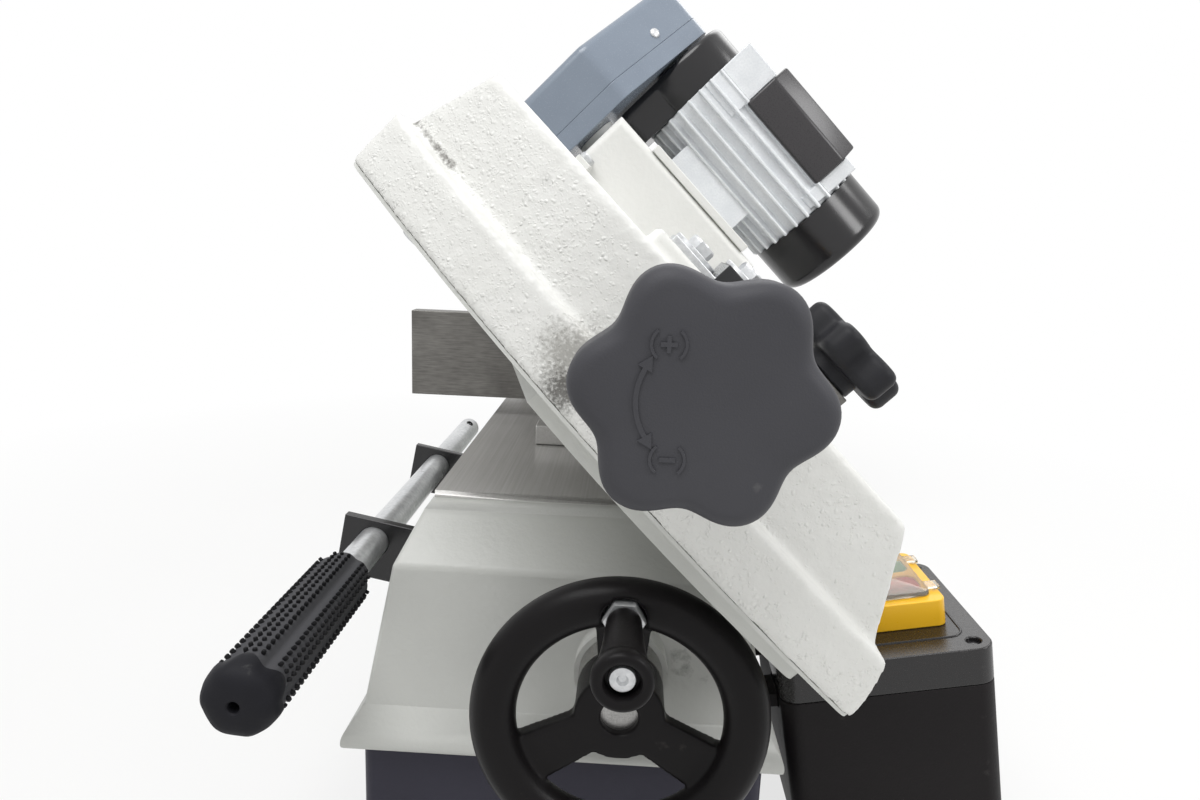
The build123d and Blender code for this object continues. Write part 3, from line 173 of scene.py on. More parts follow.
def pebbledSkin(tree, place, spec):
    # Skin of a sand casting: blisters crowded in patches, scattered elsewhere, on a faintly uneven ground.
    ground = addNode(tree, "ShaderNodeTexNoise",
                     {"Vector": place, "Scale": 1000 / spec["groundMm"], "Detail": 4.0})
    bent = addNode(tree, "ShaderNodeVectorMath",
                   {0: ground.outputs["Color"], 1: [spec["bendMm"] * mm] * 3, 2: place},
                   operation="MULTIPLY_ADD").outputs[0]
    patch = addNode(tree, "ShaderNodeTexNoise",
                    {"Vector": place, "Scale": 1000 / spec["patchMm"], "Detail": 2.0})
    sparse, crowded = spec["patch"]
    scattered = addNode(tree, "ShaderNodeMapRange",
                        {"Value": patch.outputs["Fac"], "From Min": sparse, "From Max": crowded,
                         "To Min": spec["few"], "To Max": spec["many"]})
    # how far towards the back of the bow, in mm
    towards = [c * 1000 for c in bowPlace.to_3x3() @ Vector((0, 0, 1))]
    depth = addNode(tree, "ShaderNodeVectorMath", {0: place, 1: towards},
                    operation="DOT_PRODUCT").outputs["Value"]
    origin = (bow["x"] * towards[0] + bow["z"] * towards[2]) * mm
    (rim0, rim1), (back0, back1) = ([origin + v for v in spec[k]] for k in ("rimV", "backV"))
    ledge = origin + spec["ledgeV"]
    crust = addNode(tree, "ShaderNodeMapRange",
                    {"Value": depth, "From Min": rim0, "From Max": rim1, "To Min": 1.0, "To Max": 0.0})
    share = addNode(tree, "ShaderNodeMath", {0: scattered.outputs[0], 1: crust.outputs[0]},
                    operation="MAXIMUM").outputs[0]
    sizes = [blisters(tree, bent, size, share) for size in spec["pebblesMm"]]
    lumps = addNode(tree, "ShaderNodeMath", {0: sizes[0], 1: sizes[1]}, operation="MAXIMUM")
    fromLedge = addNode(tree, "ShaderNodeMath", {0: depth, 1: ledge}, operation="SUBTRACT")
    fromLedge = addNode(tree, "ShaderNodeMath", {0: fromLedge.outputs[0]}, operation="ABSOLUTE")
    smooth, full = spec["ledgeMm"]
    offLedge = addNode(tree, "ShaderNodeMapRange",
                       {"Value": fromLedge.outputs[0], "From Min": smooth, "From Max": full})
    offBack = addNode(tree, "ShaderNodeMapRange",
                      {"Value": depth, "From Min": back0, "From Max": back1, "To Min": 1.0, "To Max": 0.0})
    rough = addNode(tree, "ShaderNodeMath", {0: offLedge.outputs[0], 1: offBack.outputs[0]},
                    operation="MINIMUM")
    lumps = addNode(tree, "ShaderNodeMath", {0: lumps.outputs[0], 1: rough.outputs[0]}, operation="MULTIPLY")
    high = addNode(tree, "ShaderNodeMath", {0: ground.outputs["Fac"], 1: spec["ground"], 2: lumps.outputs[0]},
                   operation="MULTIPLY_ADD")
    return addNode(tree, "ShaderNodeBump",
                   {"Height": high.outputs[0], "Distance": spec["pebbleHigh"] * mm}).outputs[0]


# what a coat has unless it says otherwise; a grain finer than about 0.6 mm is drawn that coarse, to show
plainCoat = {"mottleMm": 45, "dirtMm": 14, "dirtFrom": 0.66, "dirtFade": 0.14, "dirtAmount": 0.5,
             "dirt": "#4A463F", "marks": (), "shine": 0.5, "glossier": 0.08, "duller": 0.1}


def coatedSurface(given):
    # Paint, plastic or rubber: broad mottling, sparse dirt and a fine grain that also breaks the gloss.
    spec = plainCoat | given
    material, tree, shader, place = newMaterial(spec["name"])
    mottle = addNode(tree, "ShaderNodeTexNoise",
                     {"Vector": place, "Scale": 1000 / spec["mottleMm"], "Detail": 4.0})
    toned = addNode(tree, "ShaderNodeMix", {0: mottle.outputs["Fac"], 6: linear(spec["colour"]),
                                            7: linear(spec["shade"])}, data_type="RGBA")
    stain = addNode(tree, "ShaderNodeTexNoise",
                    {"Vector": place, "Scale": 1000 / spec["dirtMm"], "Detail": 7.0, "Roughness": 0.65})
    spots = addNode(tree, "ShaderNodeMapRange",
                    {"Value": stain.outputs["Fac"], "From Min": spec["dirtFrom"],
                     "From Max": spec["dirtFrom"] + spec["dirtFade"], "To Max": spec["dirtAmount"]})
    stained = addNode(tree, "ShaderNodeMix", {0: spots.outputs[0], 6: toned.outputs[2],
                                              7: linear(spec["dirt"])}, data_type="RGBA")
    colour = grimeAndShadeMarks(tree, place, stained.outputs[2], spec["marks"])
    tree.links.new(colour, shader.inputs["Base Color"])
    grain = addNode(tree, "ShaderNodeTexNoise",
                    {"Vector": place, "Scale": 1000 / spec["grainMm"], "Detail": 3.0})
    gloss = addNode(tree, "ShaderNodeMapRange",
                    {"Value": grain.outputs["Fac"], "To Min": spec["rough"] - spec["glossier"],
                     "To Max": spec["rough"] + spec["duller"]})
    tree.links.new(gloss.outputs[0], shader.inputs["Roughness"])
    bump = addNode(tree, "ShaderNodeBump", {"Height": grain.outputs["Fac"], "Strength": spec["grain"],
                                            "Distance": spec["grainMm"] * mm * 0.5})
    if "pebblesMm" in spec:
        tree.links.new(pebbledSkin(tree, place, spec), bump.inputs["Normal"])
    tree.links.new(bump.outputs[0], shader.inputs["Normal"])
    shader.inputs["Specular IOR Level"].default_value = spec["shine"]
    return material


# what a metal has unless it says otherwise; tool lines are counted per metre on each axis, few enough to show
plainMetal = {"cloudMm": 22, "depth": 0.12, "deepMm": 0.2, "metallic": 1.0, "tarnish": (0.12, 0.42),
              "glossier": 0.07, "duller": 0.1}


def barMetal(given):
    # Bare or plated metal: tool lines drawn out along one axis, a faint cloudy tarnish.
    spec = plainMetal | given
    material, tree, shader, place = newMaterial(spec["name"])
    stretch = addNode(tree, "ShaderNodeMapping", {"Vector": place, "Scale": spec["lines"]})
    lines = addNode(tree, "ShaderNodeTexNoise", {"Vector": stretch.outputs[0], "Scale": 1.0, "Detail": 5.0})
    cloud = addNode(tree, "ShaderNodeTexNoise",
                    {"Vector": place, "Scale": 1000 / spec["cloudMm"], "Detail": 5.0})
    both = addNode(tree, "ShaderNodeMath", {0: lines.outputs["Fac"], 1: cloud.outputs["Fac"]},
                   operation="MULTIPLY")
    dark, bright = spec["tarnish"]
    ramp = addNode(tree, "ShaderNodeMapRange", {"Value": both.outputs[0], "From Min": dark, "From Max": bright})
    toned = addNode(tree, "ShaderNodeMix", {0: ramp.outputs[0], 6: linear(spec["shade"]),
                                            7: linear(spec["colour"])}, data_type="RGBA")
    tree.links.new(toned.outputs[2], shader.inputs["Base Color"])
    gloss = addNode(tree, "ShaderNodeMapRange",
                    {"Value": cloud.outputs["Fac"], "To Min": spec["rough"] - spec["glossier"],
                     "To Max": spec["rough"] + spec["duller"]})
    tree.links.new(gloss.outputs[0], shader.inputs["Roughness"])
    bump = addNode(tree, "ShaderNodeBump", {"Height": lines.outputs["Fac"], "Strength": spec["depth"],
                                            "Distance": spec["deepMm"] * mm})
    tree.links.new(bump.outputs[0], shader.inputs["Normal"])
    shader.inputs["Metallic"].default_value = spec["metallic"]
    return material


# The bow: thick white paint over raw sand casting, a pebbled skin with dull gloss and grime in its pits; a line
# of painted shade marks the shadowed groove at the ridge's upper end.
bowPaint = coatedSurface({
    "name": "whitePaintOnSandCasting", "colour": "#E6E6E3", "shade": "#DBDBD7", "grainMm": 0.8, "grain": 0.14,
    "rough": 0.42, "pebblesMm": (1.1, 2.0), "pebbleHigh": 0.36, "groundMm": 5, "ground": 1.2, "bendMm": 4,
    "patchMm": 60, "patch": (0.4, 0.62), "few": 0.14, "many": 0.8, "rimV": (-41, -32), "ledgeV": -21.5,
    "ledgeMm": (1.2, 3.2), "backV": (13, 17),
    "dirtMm": 16, "dirtFrom": 0.73, "dirtAmount": 0.3, "dirt": "#8A857A", "marks": [
        {"at": (4, -424, 287), "reach": 30, "speckMm": 1.6, "from": 0.2, "amount": 0.6, "colour": "#6A665E"},
        {"at": (0, -424, 274), "reach": 17, "speckMm": 1.1, "from": 0.2, "amount": 0.8, "colour": "#3C3934"},
        # painted shade: the shadowed groove where the ledge meets the back face at the ridge's upper end
        {"at": (-66, -371, 371), "to": (-49, -385, 354), "reach": 4.5, "speckMm": 1.6, "from": 0.2,
         "amount": 0.8, "colour": "#4F4B44"}]})
# Wheel cover: grey paint on pressed sheet, smoother than the castings.
coverPaint = coatedSurface({"name": "greyPaintOnSheet", "colour": "#D2D3CF", "shade": "#C6C7C3",
                            "grainMm": 0.9, "grain": 0.12, "rough": 0.38, "dirtAmount": 0.25})
# Stand: dark blue-grey stove paint on folded sheet, a slight peel in the gloss.
standPaint = coatedSurface({"name": "darkStovePaintOnSheet", "colour": "#3D3C47", "shade": "#35343E",
                            "shine": 0.14, "grainMm": 1.2, "grain": 0.14, "rough": 0.42, "dirtAmount": 0.3,
                            "dirt": "#6B6B70"})
# Belt guard: blue-grey stove paint on drawn sheet, smooth enough for soft highlights on the corners.
guardPaint = coatedSurface({"name": "blueGreyStovePaint", "colour": "#828C99", "shade": "#76808D",
                            "grainMm": 1.2, "grain": 0.03, "rough": 0.24, "dirtAmount": 0.25})
# Fan cover, motor end and brackets: gloss black enamel; on the motor end it is also painted shade for the gap
# behind the belt guard.
blackEnamel = coatedSurface({"name": "blackEnamel", "colour": "#1B1A1C", "shade": "#141315",
                             "grainMm": 1.0, "grain": 0.03, "rough": 0.2, "dirtAmount": 0.2, "dirt": "#4A4846"})
# Tension knob: dark grey moulded nylon, an even fine grain that takes a wide soft sheen.
knobNylon = coatedSurface({"name": "greyMouldedNylon", "shine": 0.14, "colour": "#4A4A4E", "shade": "#424246",
                           "grainMm": 0.7, "grain": 0.22, "rough": 0.5, "dirtAmount": 0.25, "dirt": "#8A8A88"})
# Guide knob: the same nylon in near black.
starNylon = coatedSurface({"name": "blackMouldedNylon", "shine": 0.14, "colour": "#2B2B2E", "shade": "#242427",
                           "grainMm": 0.7, "grain": 0.2, "rough": 0.45, "dirtAmount": 0.25, "dirt": "#77777A"})
# Capacitor box: black moulded plastic gone slightly grey, half gloss.
capacitorPlastic = coatedSurface({"name": "greyedBlackPlastic", "colour": "#343234", "shade": "#2B292B",
                                  "grainMm": 0.9, "grain": 0.03, "rough": 0.28, "dirtAmount": 0.2,
                                  "dirt": "#5A5856"})
# Handwheel: black moulded phenolic, half gloss.
wheelPhenolic = coatedSurface({"name": "blackMouldedPhenolic", "colour": "#141213", "shade": "#0F0D0E",
                               "shine": 0.14, "grainMm": 0.9, "grain": 0.12, "rough": 0.36, "dirtAmount": 0.3,
                               "dirt": "#56524F"})
# Switch box: black ABS with a spark-eroded skin, dull and dark on its walls.
boxAbs = coatedSurface({"name": "blackSparkedAbs", "shine": 0.14, "colour": "#1D1A1B", "shade": "#171516",
                        "grainMm": 0.8, "grain": 0.3, "rough": 0.48, "dirtAmount": 0.25, "dirt": "#5F5C5A"})
# Lid of the box: the same ABS rubbed to a grey gloss on top.
lidAbs = coatedSurface({"name": "rubbedBlackAbs", "colour": "#1B191A", "shade": "#151314",
                        "grainMm": 0.9, "grain": 0.06, "rough": 0.27, "dirtAmount": 0.3, "dirt": "#5F5C5A"})
# Handle grip: soft black rubber, dull with a dusty bloom and a painted sheen on the sleeve, its studs a little
# darker.
gripRubber = coatedSurface({"name": "blackGripRubber", "shine": 0.1, "colour": "#232327", "shade": "#1D1D21",
                            "grainMm": 0.6, "grain": 0.2, "rough": 0.55, "dirtAmount": 0.4, "dirt": "#6C6B69"})
studRubber = coatedSurface({"name": "blackStudRubber", "shine": 0.14, "colour": "#1C1C1E", "shade": "#161618",
                            "grainMm": 0.8, "grain": 0.2, "rough": 0.5, "dirtAmount": 0.3, "dirt": "#57565A"})


def dustAndSheenSleeve(material, colour):
    # the sleeve behind the cap is painted greyer, partly dust and partly a painted sheen, marked by the mesh's
    # own attribute
    tree, shader, place = nodesOf(material)
    sleeve = addNode(tree, "ShaderNodeAttribute", attribute_name="sleeve").outputs["Fac"]
    ground = shader.inputs["Base Color"].links[0].from_socket
    mix = addNode(tree, "ShaderNodeMix", {0: sleeve, 6: ground, 7: linear(colour)}, data_type="RGBA")
    tree.links.new(mix.outputs[2], shader.inputs["Base Color"])


# painted sheen and dust on the grip's sleeve
dustAndSheenSleeve(gripRubber, "#4B4B4E")
# Belt: matt black rubber.
beltRubber = coatedSurface({"name": "beltRubber", "colour": "#1E1E20", "shade": "#171718",
                            "grainMm": 0.8, "grain": 0.25, "rough": 0.7})
# Switch: glossy moulded ABS in signal colours.
yellowAbs = coatedSurface({"name": "yellowAbs", "colour": "#FBC52C", "shade": "#F2B920",
                           "grainMm": 0.9, "grain": 0.06, "rough": 0.3, "dirtAmount": 0.15})
redAbs = coatedSurface({"name": "redAbs", "colour": "#C8231E", "shade": "#B81D19",
                        "grainMm": 0.9, "grain": 0.05, "rough": 0.28, "dirtAmount": 0.1})
greenAbs = coatedSurface({"name": "greenAbs", "colour": "#2C8A45", "shade": "#267C3D",
                          "grainMm": 0.9, "grain": 0.05, "rough": 0.28, "dirtAmount": 0.1})
# Jaws, slide and guides: grey iron, milled and oiled, brownish in the low spots.
millIron = barMetal({"name": "milledGreyIron", "colour": "#82807C", "shade": "#62605D",
                     "lines": (90, 500, 900), "rough": 0.42, "depth": 0.2, "metallic": 0.75})
# Bolts and rod: zinc plate, bright and a little cloudy.
zincPlate = barMetal({"name": "zincPlatedSteel", "colour": "#E0E1E2", "shade": "#BBBDBF",
                      "lines": (400, 400, 400), "rough": 0.28, "depth": 0.06, "metallic": 0.65})
# Shafts and screws: turned steel with fine rings and a plain shine.
turnedSteel = barMetal({"name": "turnedSteel", "colour": "#B9B8B6", "shade": "#8C8B89",
                        "lines": (1200, 1200, 1200), "rough": 0.33})
# Blade: blued spring steel with rolled lines along it.
bladeSteel = barMetal({"name": "bluedSpringSteel", "colour": "#8F949C", "shade": "#5A5F68",
                       "lines": (900, 40, 900), "rough": 0.35})
# Motor: bare die-cast aluminium, pale and matt.
motorAlloy = barMetal({"name": "dieCastAluminium", "colour": "#E6E8EA", "shade": "#D5D8DB",
                       "lines": (500, 500, 500), "rough": 0.38, "depth": 0.03, "metallic": 0.15})
# Worm wheel: cast bronze, yellow-brown and dull.
gearBronze = barMetal({"name": "gearBronze", "colour": "#B88A4A", "shade": "#8A6432",
                       "lines": (600, 600, 600), "rough": 0.4})


def plateAndBlock(spec):
    # Zinc plate, and beyond a line across the bow the blackened block that is welded to it.
    material = barMetal(spec)
    tree, shader, place = nodesOf(material)
    way = bowPlace.to_3x3() @ Vector((1, 0, 0))
    across = addNode(tree, "ShaderNodeVectorMath", {0: place, 1: way}, operation="DOT_PRODUCT").outputs["Value"]
    line = Vector((bow["x"], 0, bow["z"])).dot(way) + spec["blockU"]
    block = addNode(tree, "ShaderNodeMath", {0: across, 1: line * mm}, operation="GREATER_THAN").outputs[0]
    zinc = shader.inputs["Base Color"].links[0].from_socket
    colour = addNode(tree, "ShaderNodeMix", {0: block, 6: zinc, 7: linear(spec["block"])}, data_type="RGBA")
    tree.links.new(colour.outputs[2], shader.inputs["Base Color"])
    bare = addNode(tree, "ShaderNodeMapRange", {"Value": block, "To Min": spec["metallic"], "To Max": 0.0})
    tree.links.new(bare.outputs[0], shader.inputs["Metallic"])
    return material


clampSteel = plateAndBlock({"name": "zincPlateAndBlackBlock", "colour": "#E0E1E2", "shade": "#BBBDBF",
                            "lines": (400, 400, 400), "rough": 0.3, "depth": 0.06, "metallic": 0.65,
                            "block": "#202022", "blockU": -8})


def clearCover(spec):
    # Clear polycarbonate: glassy, faintly scuffed.
    material, tree, shader, place = newMaterial(spec["name"])
    scuff = addNode(tree, "ShaderNodeTexNoise",
                    {"Vector": place, "Scale": 1000 / spec["scuffMm"], "Detail": 6.0})
    gloss = addNode(tree, "ShaderNodeMapRange", {"Value": scuff.outputs["Fac"], "To Min": spec["clean"],
                                                 "To Max": spec["scuffed"]})
    tree.links.new(gloss.outputs[0], shader.inputs["Roughness"])
    shader.inputs["Base Color"].default_value = linear(spec["colour"])
    shader.inputs["Transmission Weight"].default_value = spec["clear"]
    shader.inputs["IOR"].default_value = spec["ior"]
    return material


clearPoly = clearCover({"name": "clearPolycarbonate", "colour": "#F4EFE2", "scuffMm": 7, "clean": 0.04,
                        "scuffed": 0.22, "clear": 0.95, "ior": 1.58})


def basePaintAndBed(spec):
    # Light grey paint with a cast skin; above the bed's edge the iron is ground bright and takes reflections.
    material = coatedSurface(spec)
    tree, shader, place = nodesOf(material)
    height = addNode(tree, "ShaderNodeSeparateXYZ", {"Vector": place}).outputs["Z"]
    bed = addNode(tree, "ShaderNodeMath", {0: height, 1: spec["bedZ"] * mm},
                  operation="GREATER_THAN").outputs[0]
    stretch = addNode(tree, "ShaderNodeMapping", {"Vector": place, "Scale": spec["lines"]})
    lines = addNode(tree, "ShaderNodeTexNoise", {"Vector": stretch.outputs[0], "Scale": 1.0, "Detail": 4.0})
    ground = addNode(tree, "ShaderNodeMix", {0: lines.outputs["Fac"], 6: linear(spec["ironShade"]),
                                             7: linear(spec["iron"])}, data_type="RGBA")
    paint = shader.inputs["Base Color"].links[0].from_socket
    colour = addNode(tree, "ShaderNodeMix", {0: bed, 6: paint, 7: ground.outputs[2]}, data_type="RGBA")
    tree.links.new(colour.outputs[2], shader.inputs["Base Color"])
    dull = shader.inputs["Roughness"].links[0].from_socket
    rough = addNode(tree, "ShaderNodeMix", {0: bed, 2: dull, 3: spec["ironRough"]})
    tree.links.new(rough.outputs[0], shader.inputs["Roughness"])
    bump = shader.inputs["Normal"].links[0].from_node
    even = addNode(tree, "ShaderNodeMapRange", {"Value": bed, "To Min": spec["grain"],
                                                "To Max": spec["ironGrain"]})
    tree.links.new(even.outputs[0], bump.inputs["Strength"])
    bare = addNode(tree, "ShaderNodeMath", {0: bed, 1: spec["ironMetal"]}, operation="MULTIPLY")
    tree.links.new(bare.outputs[0], shader.inputs["Metallic"])
    return material


basePaint = basePaintAndBed({"name": "greyPaintOnCastIron", "colour": "#C8C9C5", "shade": "#BDBEBA",
                             "grainMm": 2.6, "grain": 0.2, "rough": 0.4, "dirtMm": 22, "dirtFrom": 0.68,
                             "dirtAmount": 0.3, "dirt": "#77736B", "bedZ": 190.4, "lines": (900, 12, 900),
                             "iron": "#CCCBC9", "ironShade": "#ADABA8", "ironRough": 0.22, "ironMetal": 0.35,
                             "ironGrain": 0.03,
                             "marks": [{"at": (57, -360, 130), "reach": 17, "speckMm": 6, "from": 0.22,
                                        "amount": 0.85, "colour": "#2E2B28"},
                                       {"at": (66, -360, 122), "reach": 13, "speckMm": 4, "from": 0.26,
                                        "amount": 0.6, "colour": "#3A3632"}]})
bySlot = {"bow_paint": bowPaint, "base_paint": basePaint, "ground_iron": millIron, "stand_paint": standPaint,
          "guard_paint": guardPaint, "black_paint": blackEnamel, "zinc": zincPlate, "steel": turnedSteel,
          "blade_steel": bladeSteel, "motor_alloy": motorAlloy, "knob_plastic": knobNylon,
          "wheel_plastic": wheelPhenolic, "box_plastic": boxAbs, "grip_rubber": gripRubber,
          "belt_rubber": beltRubber, "yellow_plastic": yellowAbs, "red_plastic": redAbs,
          "green_plastic": greenAbs, "clear_plastic": clearPoly, "bronze": gearBronze}
byNode = {"wheel_cover": coverPaint, "guide_knob": starNylon, "capacitor_box": capacitorPlastic,
          "lid_screws": blackEnamel, "control_box_lid": lidAbs, "slide_clamp": clampSteel}
for name, node in nodes.items():
    node.data.materials.clear()
    node.data.materials.append(byNode.get(name) or bySlot[slotOf[name]])
print("materials on", len(nodes), "nodes")

# light and floor; a lamp is its place, its width in metres and its watts
studio = {"floor": "#E2E2E0", "floorRough": 0.9, "half": 8, "white": 0.75, "shadow": (0.45, 1.0), "world": 0.43,
          "middle": (0.05, -0.1, 0.25),
          "lamps": {"keyLight": ((-0.5, -0.95, 2.5), 2.0, 53), "fillLight": ((1.6, -1.0, 1.2), 0.7, 10),
                    "sideLight": ((1.45, 0.3, 1.65), 0.6, 5), "backLight": ((0.6, 1.6, 1.8), 1.2, 7)}}


def areaLight(name, at, towards, size, watts):
    data = bpy.data.lights.new(name, "AREA")
    data.shape = "DISK"
    data.size = size
    data.energy = watts
    obj = bpy.data.objects.new(name, data)
    obj.location = at
    obj.rotation_euler = (Vector(towards) - Vector(at)).to_track_quat("-Z", "Y").to_euler()
    bpy.context.scene.collection.objects.link(obj)


def seenRay(tree):
    # 1 for what the camera sees, straight or in metal or glass
    rays = addNode(tree, "ShaderNodeLightPath").outputs
    shown = addNode(tree, "ShaderNodeMath", {0: rays["Is Glossy Ray"], 1: rays["Is Transmission Ray"]},
                    operation="MAXIMUM")
    return addNode(tree, "ShaderNodeMath", {0: rays["Is Camera Ray"], 1: shown.outputs[0]},
                   operation="MAXIMUM").outputs[0]


def makeStudio(spec):
    world = bpy.data.worlds.new("studioWorld")
    bpy.context.scene.world = world
    world.use_nodes = True
    tree = world.node_tree
    tree.nodes.clear()
    strength = addNode(tree, "ShaderNodeMapRange",
                       {"Value": seenRay(tree), "To Min": spec["world"], "To Max": 1.0})
    sky = addNode(tree, "ShaderNodeBackground", {"Color": (1, 1, 1, 1), "Strength": strength.outputs[0]})
    addNode(tree, "ShaderNodeOutputWorld", {"Surface": sky.outputs[0]})

    mesh = bpy.data.meshes.new("studioFloor")
    half = spec["half"]
    corners = [(-half, -half, 0), (half, -half, 0), (half, half, 0), (-half, half, 0)]
    mesh.from_pydata(corners, [], [(0, 1, 2, 3)])
    floor = bpy.data.objects.new("studioFloor", mesh)
    bpy.context.scene.collection.objects.link(floor)
    material, tree, shader, place = newMaterial("paleFloor")
    shader.inputs["Base Color"].default_value = linear(spec["floor"])
    shader.inputs["Roughness"].default_value = spec["floorRough"]
    # the shadow shows close to the saw and fades into white
    away = addNode(tree, "ShaderNodeVectorMath", {0: place}, operation="LENGTH").outputs["Value"]
    near, far = spec["shadow"]
    share = addNode(tree, "ShaderNodeMapRange", {"Value": away, "From Min": near, "From Max": far,
                                                 "To Min": spec["white"], "To Max": 1.0})
    lift = addNode(tree, "ShaderNodeMath", {0: seenRay(tree), 1: share.outputs[0]}, operation="MULTIPLY")
    white = addNode(tree, "ShaderNodeEmission", {"Color": (1, 1, 1, 1), "Strength": 1.0})
    mix = addNode(tree, "ShaderNodeMixShader", {0: lift.outputs[0], 1: shader.outputs[0], 2: white.outputs[0]})
    out = next(n for n in tree.nodes if n.type == "OUTPUT_MATERIAL")
    tree.links.new(mix.outputs[0], out.inputs["Surface"])
    mesh.materials.append(material)
    for name, (at, size, watts) in spec["lamps"].items():
        areaLight(name, at, spec["middle"], size, watts)


makeStudio(studio)
print("studio set")


# shapes: angles between faces in degrees, and how close in mm points are merged
angles = {"flat": 0.5, "edge": 28, "shaded": 38, "cast": 60}
merged = {"made": 0.0005, "node": 0.002}


def linkNew(name, mesh):
    obj = bpy.data.objects.new(name, mesh)
    bpy.context.scene.collection.objects.link(obj)
    return obj


def plainMesh(obj):
    graph = bpy.context.evaluated_depsgraph_get()
    mesh = bpy.data.meshes.new_from_object(obj.evaluated_get(graph))
    bpy.data.objects.remove(obj)
    return mesh


def shade(mesh, sharp):
    mesh.polygons.foreach_set("use_smooth", [True] * len(mesh.polygons))
    mesh.set_sharp_from_angle(angle=radians(sharp))


def addPiece(name, mesh, material, body, replaced=(), sharp=angles["shaded"]):
    mesh.materials.clear()
    mesh.materials.append(material)
    if sharp:
        shade(mesh, sharp)
    obj = linkNew(name, mesh)
    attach(obj, body)
    if replaced:
        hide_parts(*replaced)
    return obj


def skin(rings, ends=True):
    # closed surface through rings of equally many points
    count = len(rings[0])
    verts = [p for ring in rings for p in ring]
    faces = []
    for i in range(len(rings) - 1):
        for j in range(count):
            a, b = i * count + j, i * count + (j + 1) % count
            faces.append((a, b, b + count, a + count))
    if ends:
        faces.append(tuple(range(count))[::-1])
        faces.append(tuple(range(len(verts) - count, len(verts))))
    return verts, faces


def lathe(profile, count=72, reach=None):
    # profile of (radius, height) round Z; reach(angle) widens or narrows a ring
    turns = [2 * pi * i / count for i in range(count)]
    wide = [reach(a) if reach else 0 for a in turns]
    return skin([[((r + w) * cos(a), (r + w) * sin(a), h) for a, w in zip(turns, wide)]
                 for r, h in profile])


def turnedRing(profile, count=72):
    # closed profile turned round Z, open in the middle
    verts, faces = lathe(profile + profile[:1], count)
    return verts, faces[:-2]


def prism(points, low, high):
    return skin([[(x, y, h) for x, y in points] for h in (low, high)])


def buildMesh(name, shells, place=None):
    # shells in mm become one mesh in metres
    place = place or Matrix.Identity(4)
    shape = bmesh.new()
    for verts, faces in shells:
        made = [shape.verts.new(place @ (Vector(v) * mm)) for v in verts]
        for face in faces:
            shape.faces.new([made[i] for i in face])
    bmesh.ops.remove_doubles(shape, verts=shape.verts, dist=merged["made"] * mm)
    bmesh.ops.recalc_face_normals(shape, faces=shape.faces)
    mesh = bpy.data.meshes.new(name)
    shape.to_mesh(mesh)
    shape.free()
    return mesh


def mergedCopy(node):
    # the node's loose triangles, joined into flat faces
    shape = bmesh.new()
    shape.from_mesh(nodes[node].data)
    bmesh.ops.remove_doubles(shape, verts=shape.verts, dist=merged["node"] * mm)
    bmesh.ops.dissolve_limit(shape, angle_limit=radians(angles["flat"]), verts=shape.verts, edges=shape.edges)
    return shape


def dressNode(node, kind, mesh, sharp):
    # a finer form of the whole node, in the node's own finish
    addPiece(node + kind, mesh, nodes[node].data.materials[0], bodyOf[node], [node], sharp)


def softened(node, width, shortest=0.4, wanted=None):
    # the node with its sharp edges rounded, as a moulded, cast or deburred edge is
    shape = mergedCopy(node)
    sharp = [e for e in shape.edges
             if e.is_manifold and e.calc_face_angle() > radians(angles["edge"])
             and e.calc_length() > shortest * mm and (wanted is None or wanted(e))]
    bmesh.ops.bevel(shape, geom=sharp, offset=width * mm, segments=3, profile=0.5, affect="EDGES",
                    clamp_overlap=False)
    mesh = bpy.data.meshes.new(node + "Soft")
    shape.to_mesh(mesh)
    shape.free()
    shade(mesh, angles["shaded"])
    obj = linkNew(node + "Soft", mesh)
    flat = obj.modifiers.new("flat", "WEIGHTED_NORMAL")
    flat.weight = 100
    flat.keep_sharp = True
    dressNode(node, "Soft", plainMesh(obj), sharp=0)


def thinned(mesh, fine, share):
    # fewer faces outside the part that is seen close
    obj = linkNew(mesh.name, mesh)
    group = obj.vertex_groups.new(name="thin")
    group.add([v.index for v in mesh.vertices if not fine(v.co / mm)], 1.0, "REPLACE")
    fewer = obj.modifiers.new("fewer", "DECIMATE")
    fewer.ratio = share
    fewer.vertex_group = "thin"
    fewer.vertex_group_factor = 10
    return plainMesh(obj)


def moulded(node, voxel, times, skinDepth=0, skinMm=0, fine=None, share=1):
    # the node remeshed and smoothed, so that its walls run into each other as a casting's do
    shape = mergedCopy(node)
    mesh = bpy.data.meshes.new(node + "Cast")
    shape.to_mesh(mesh)
    shape.free()
    obj = linkNew(node + "Cast", mesh)
    remesh = obj.modifiers.new("remesh", "REMESH")
    remesh.mode = "VOXEL"
    remesh.voxel_size = voxel * mm
    smooth = obj.modifiers.new("smooth", "SMOOTH")
    smooth.factor = 0.5
    smooth.iterations = times
    if skinDepth:
        texture = bpy.data.textures.new(node + "Skin", "CLOUDS")
        texture.noise_scale = skinMm * mm
        rough = obj.modifiers.new("rough", "DISPLACE")
        rough.texture = texture
        rough.texture_coords = "LOCAL"
        rough.strength = skinDepth * mm
    mesh = plainMesh(obj)
    if fine:
        mesh = thinned(mesh, fine, share)
    print(node, sum(len(p.vertices) - 2 for p in mesh.polygons), "triangles")
    dressNode(node, "Cast", mesh, angles["cast"])


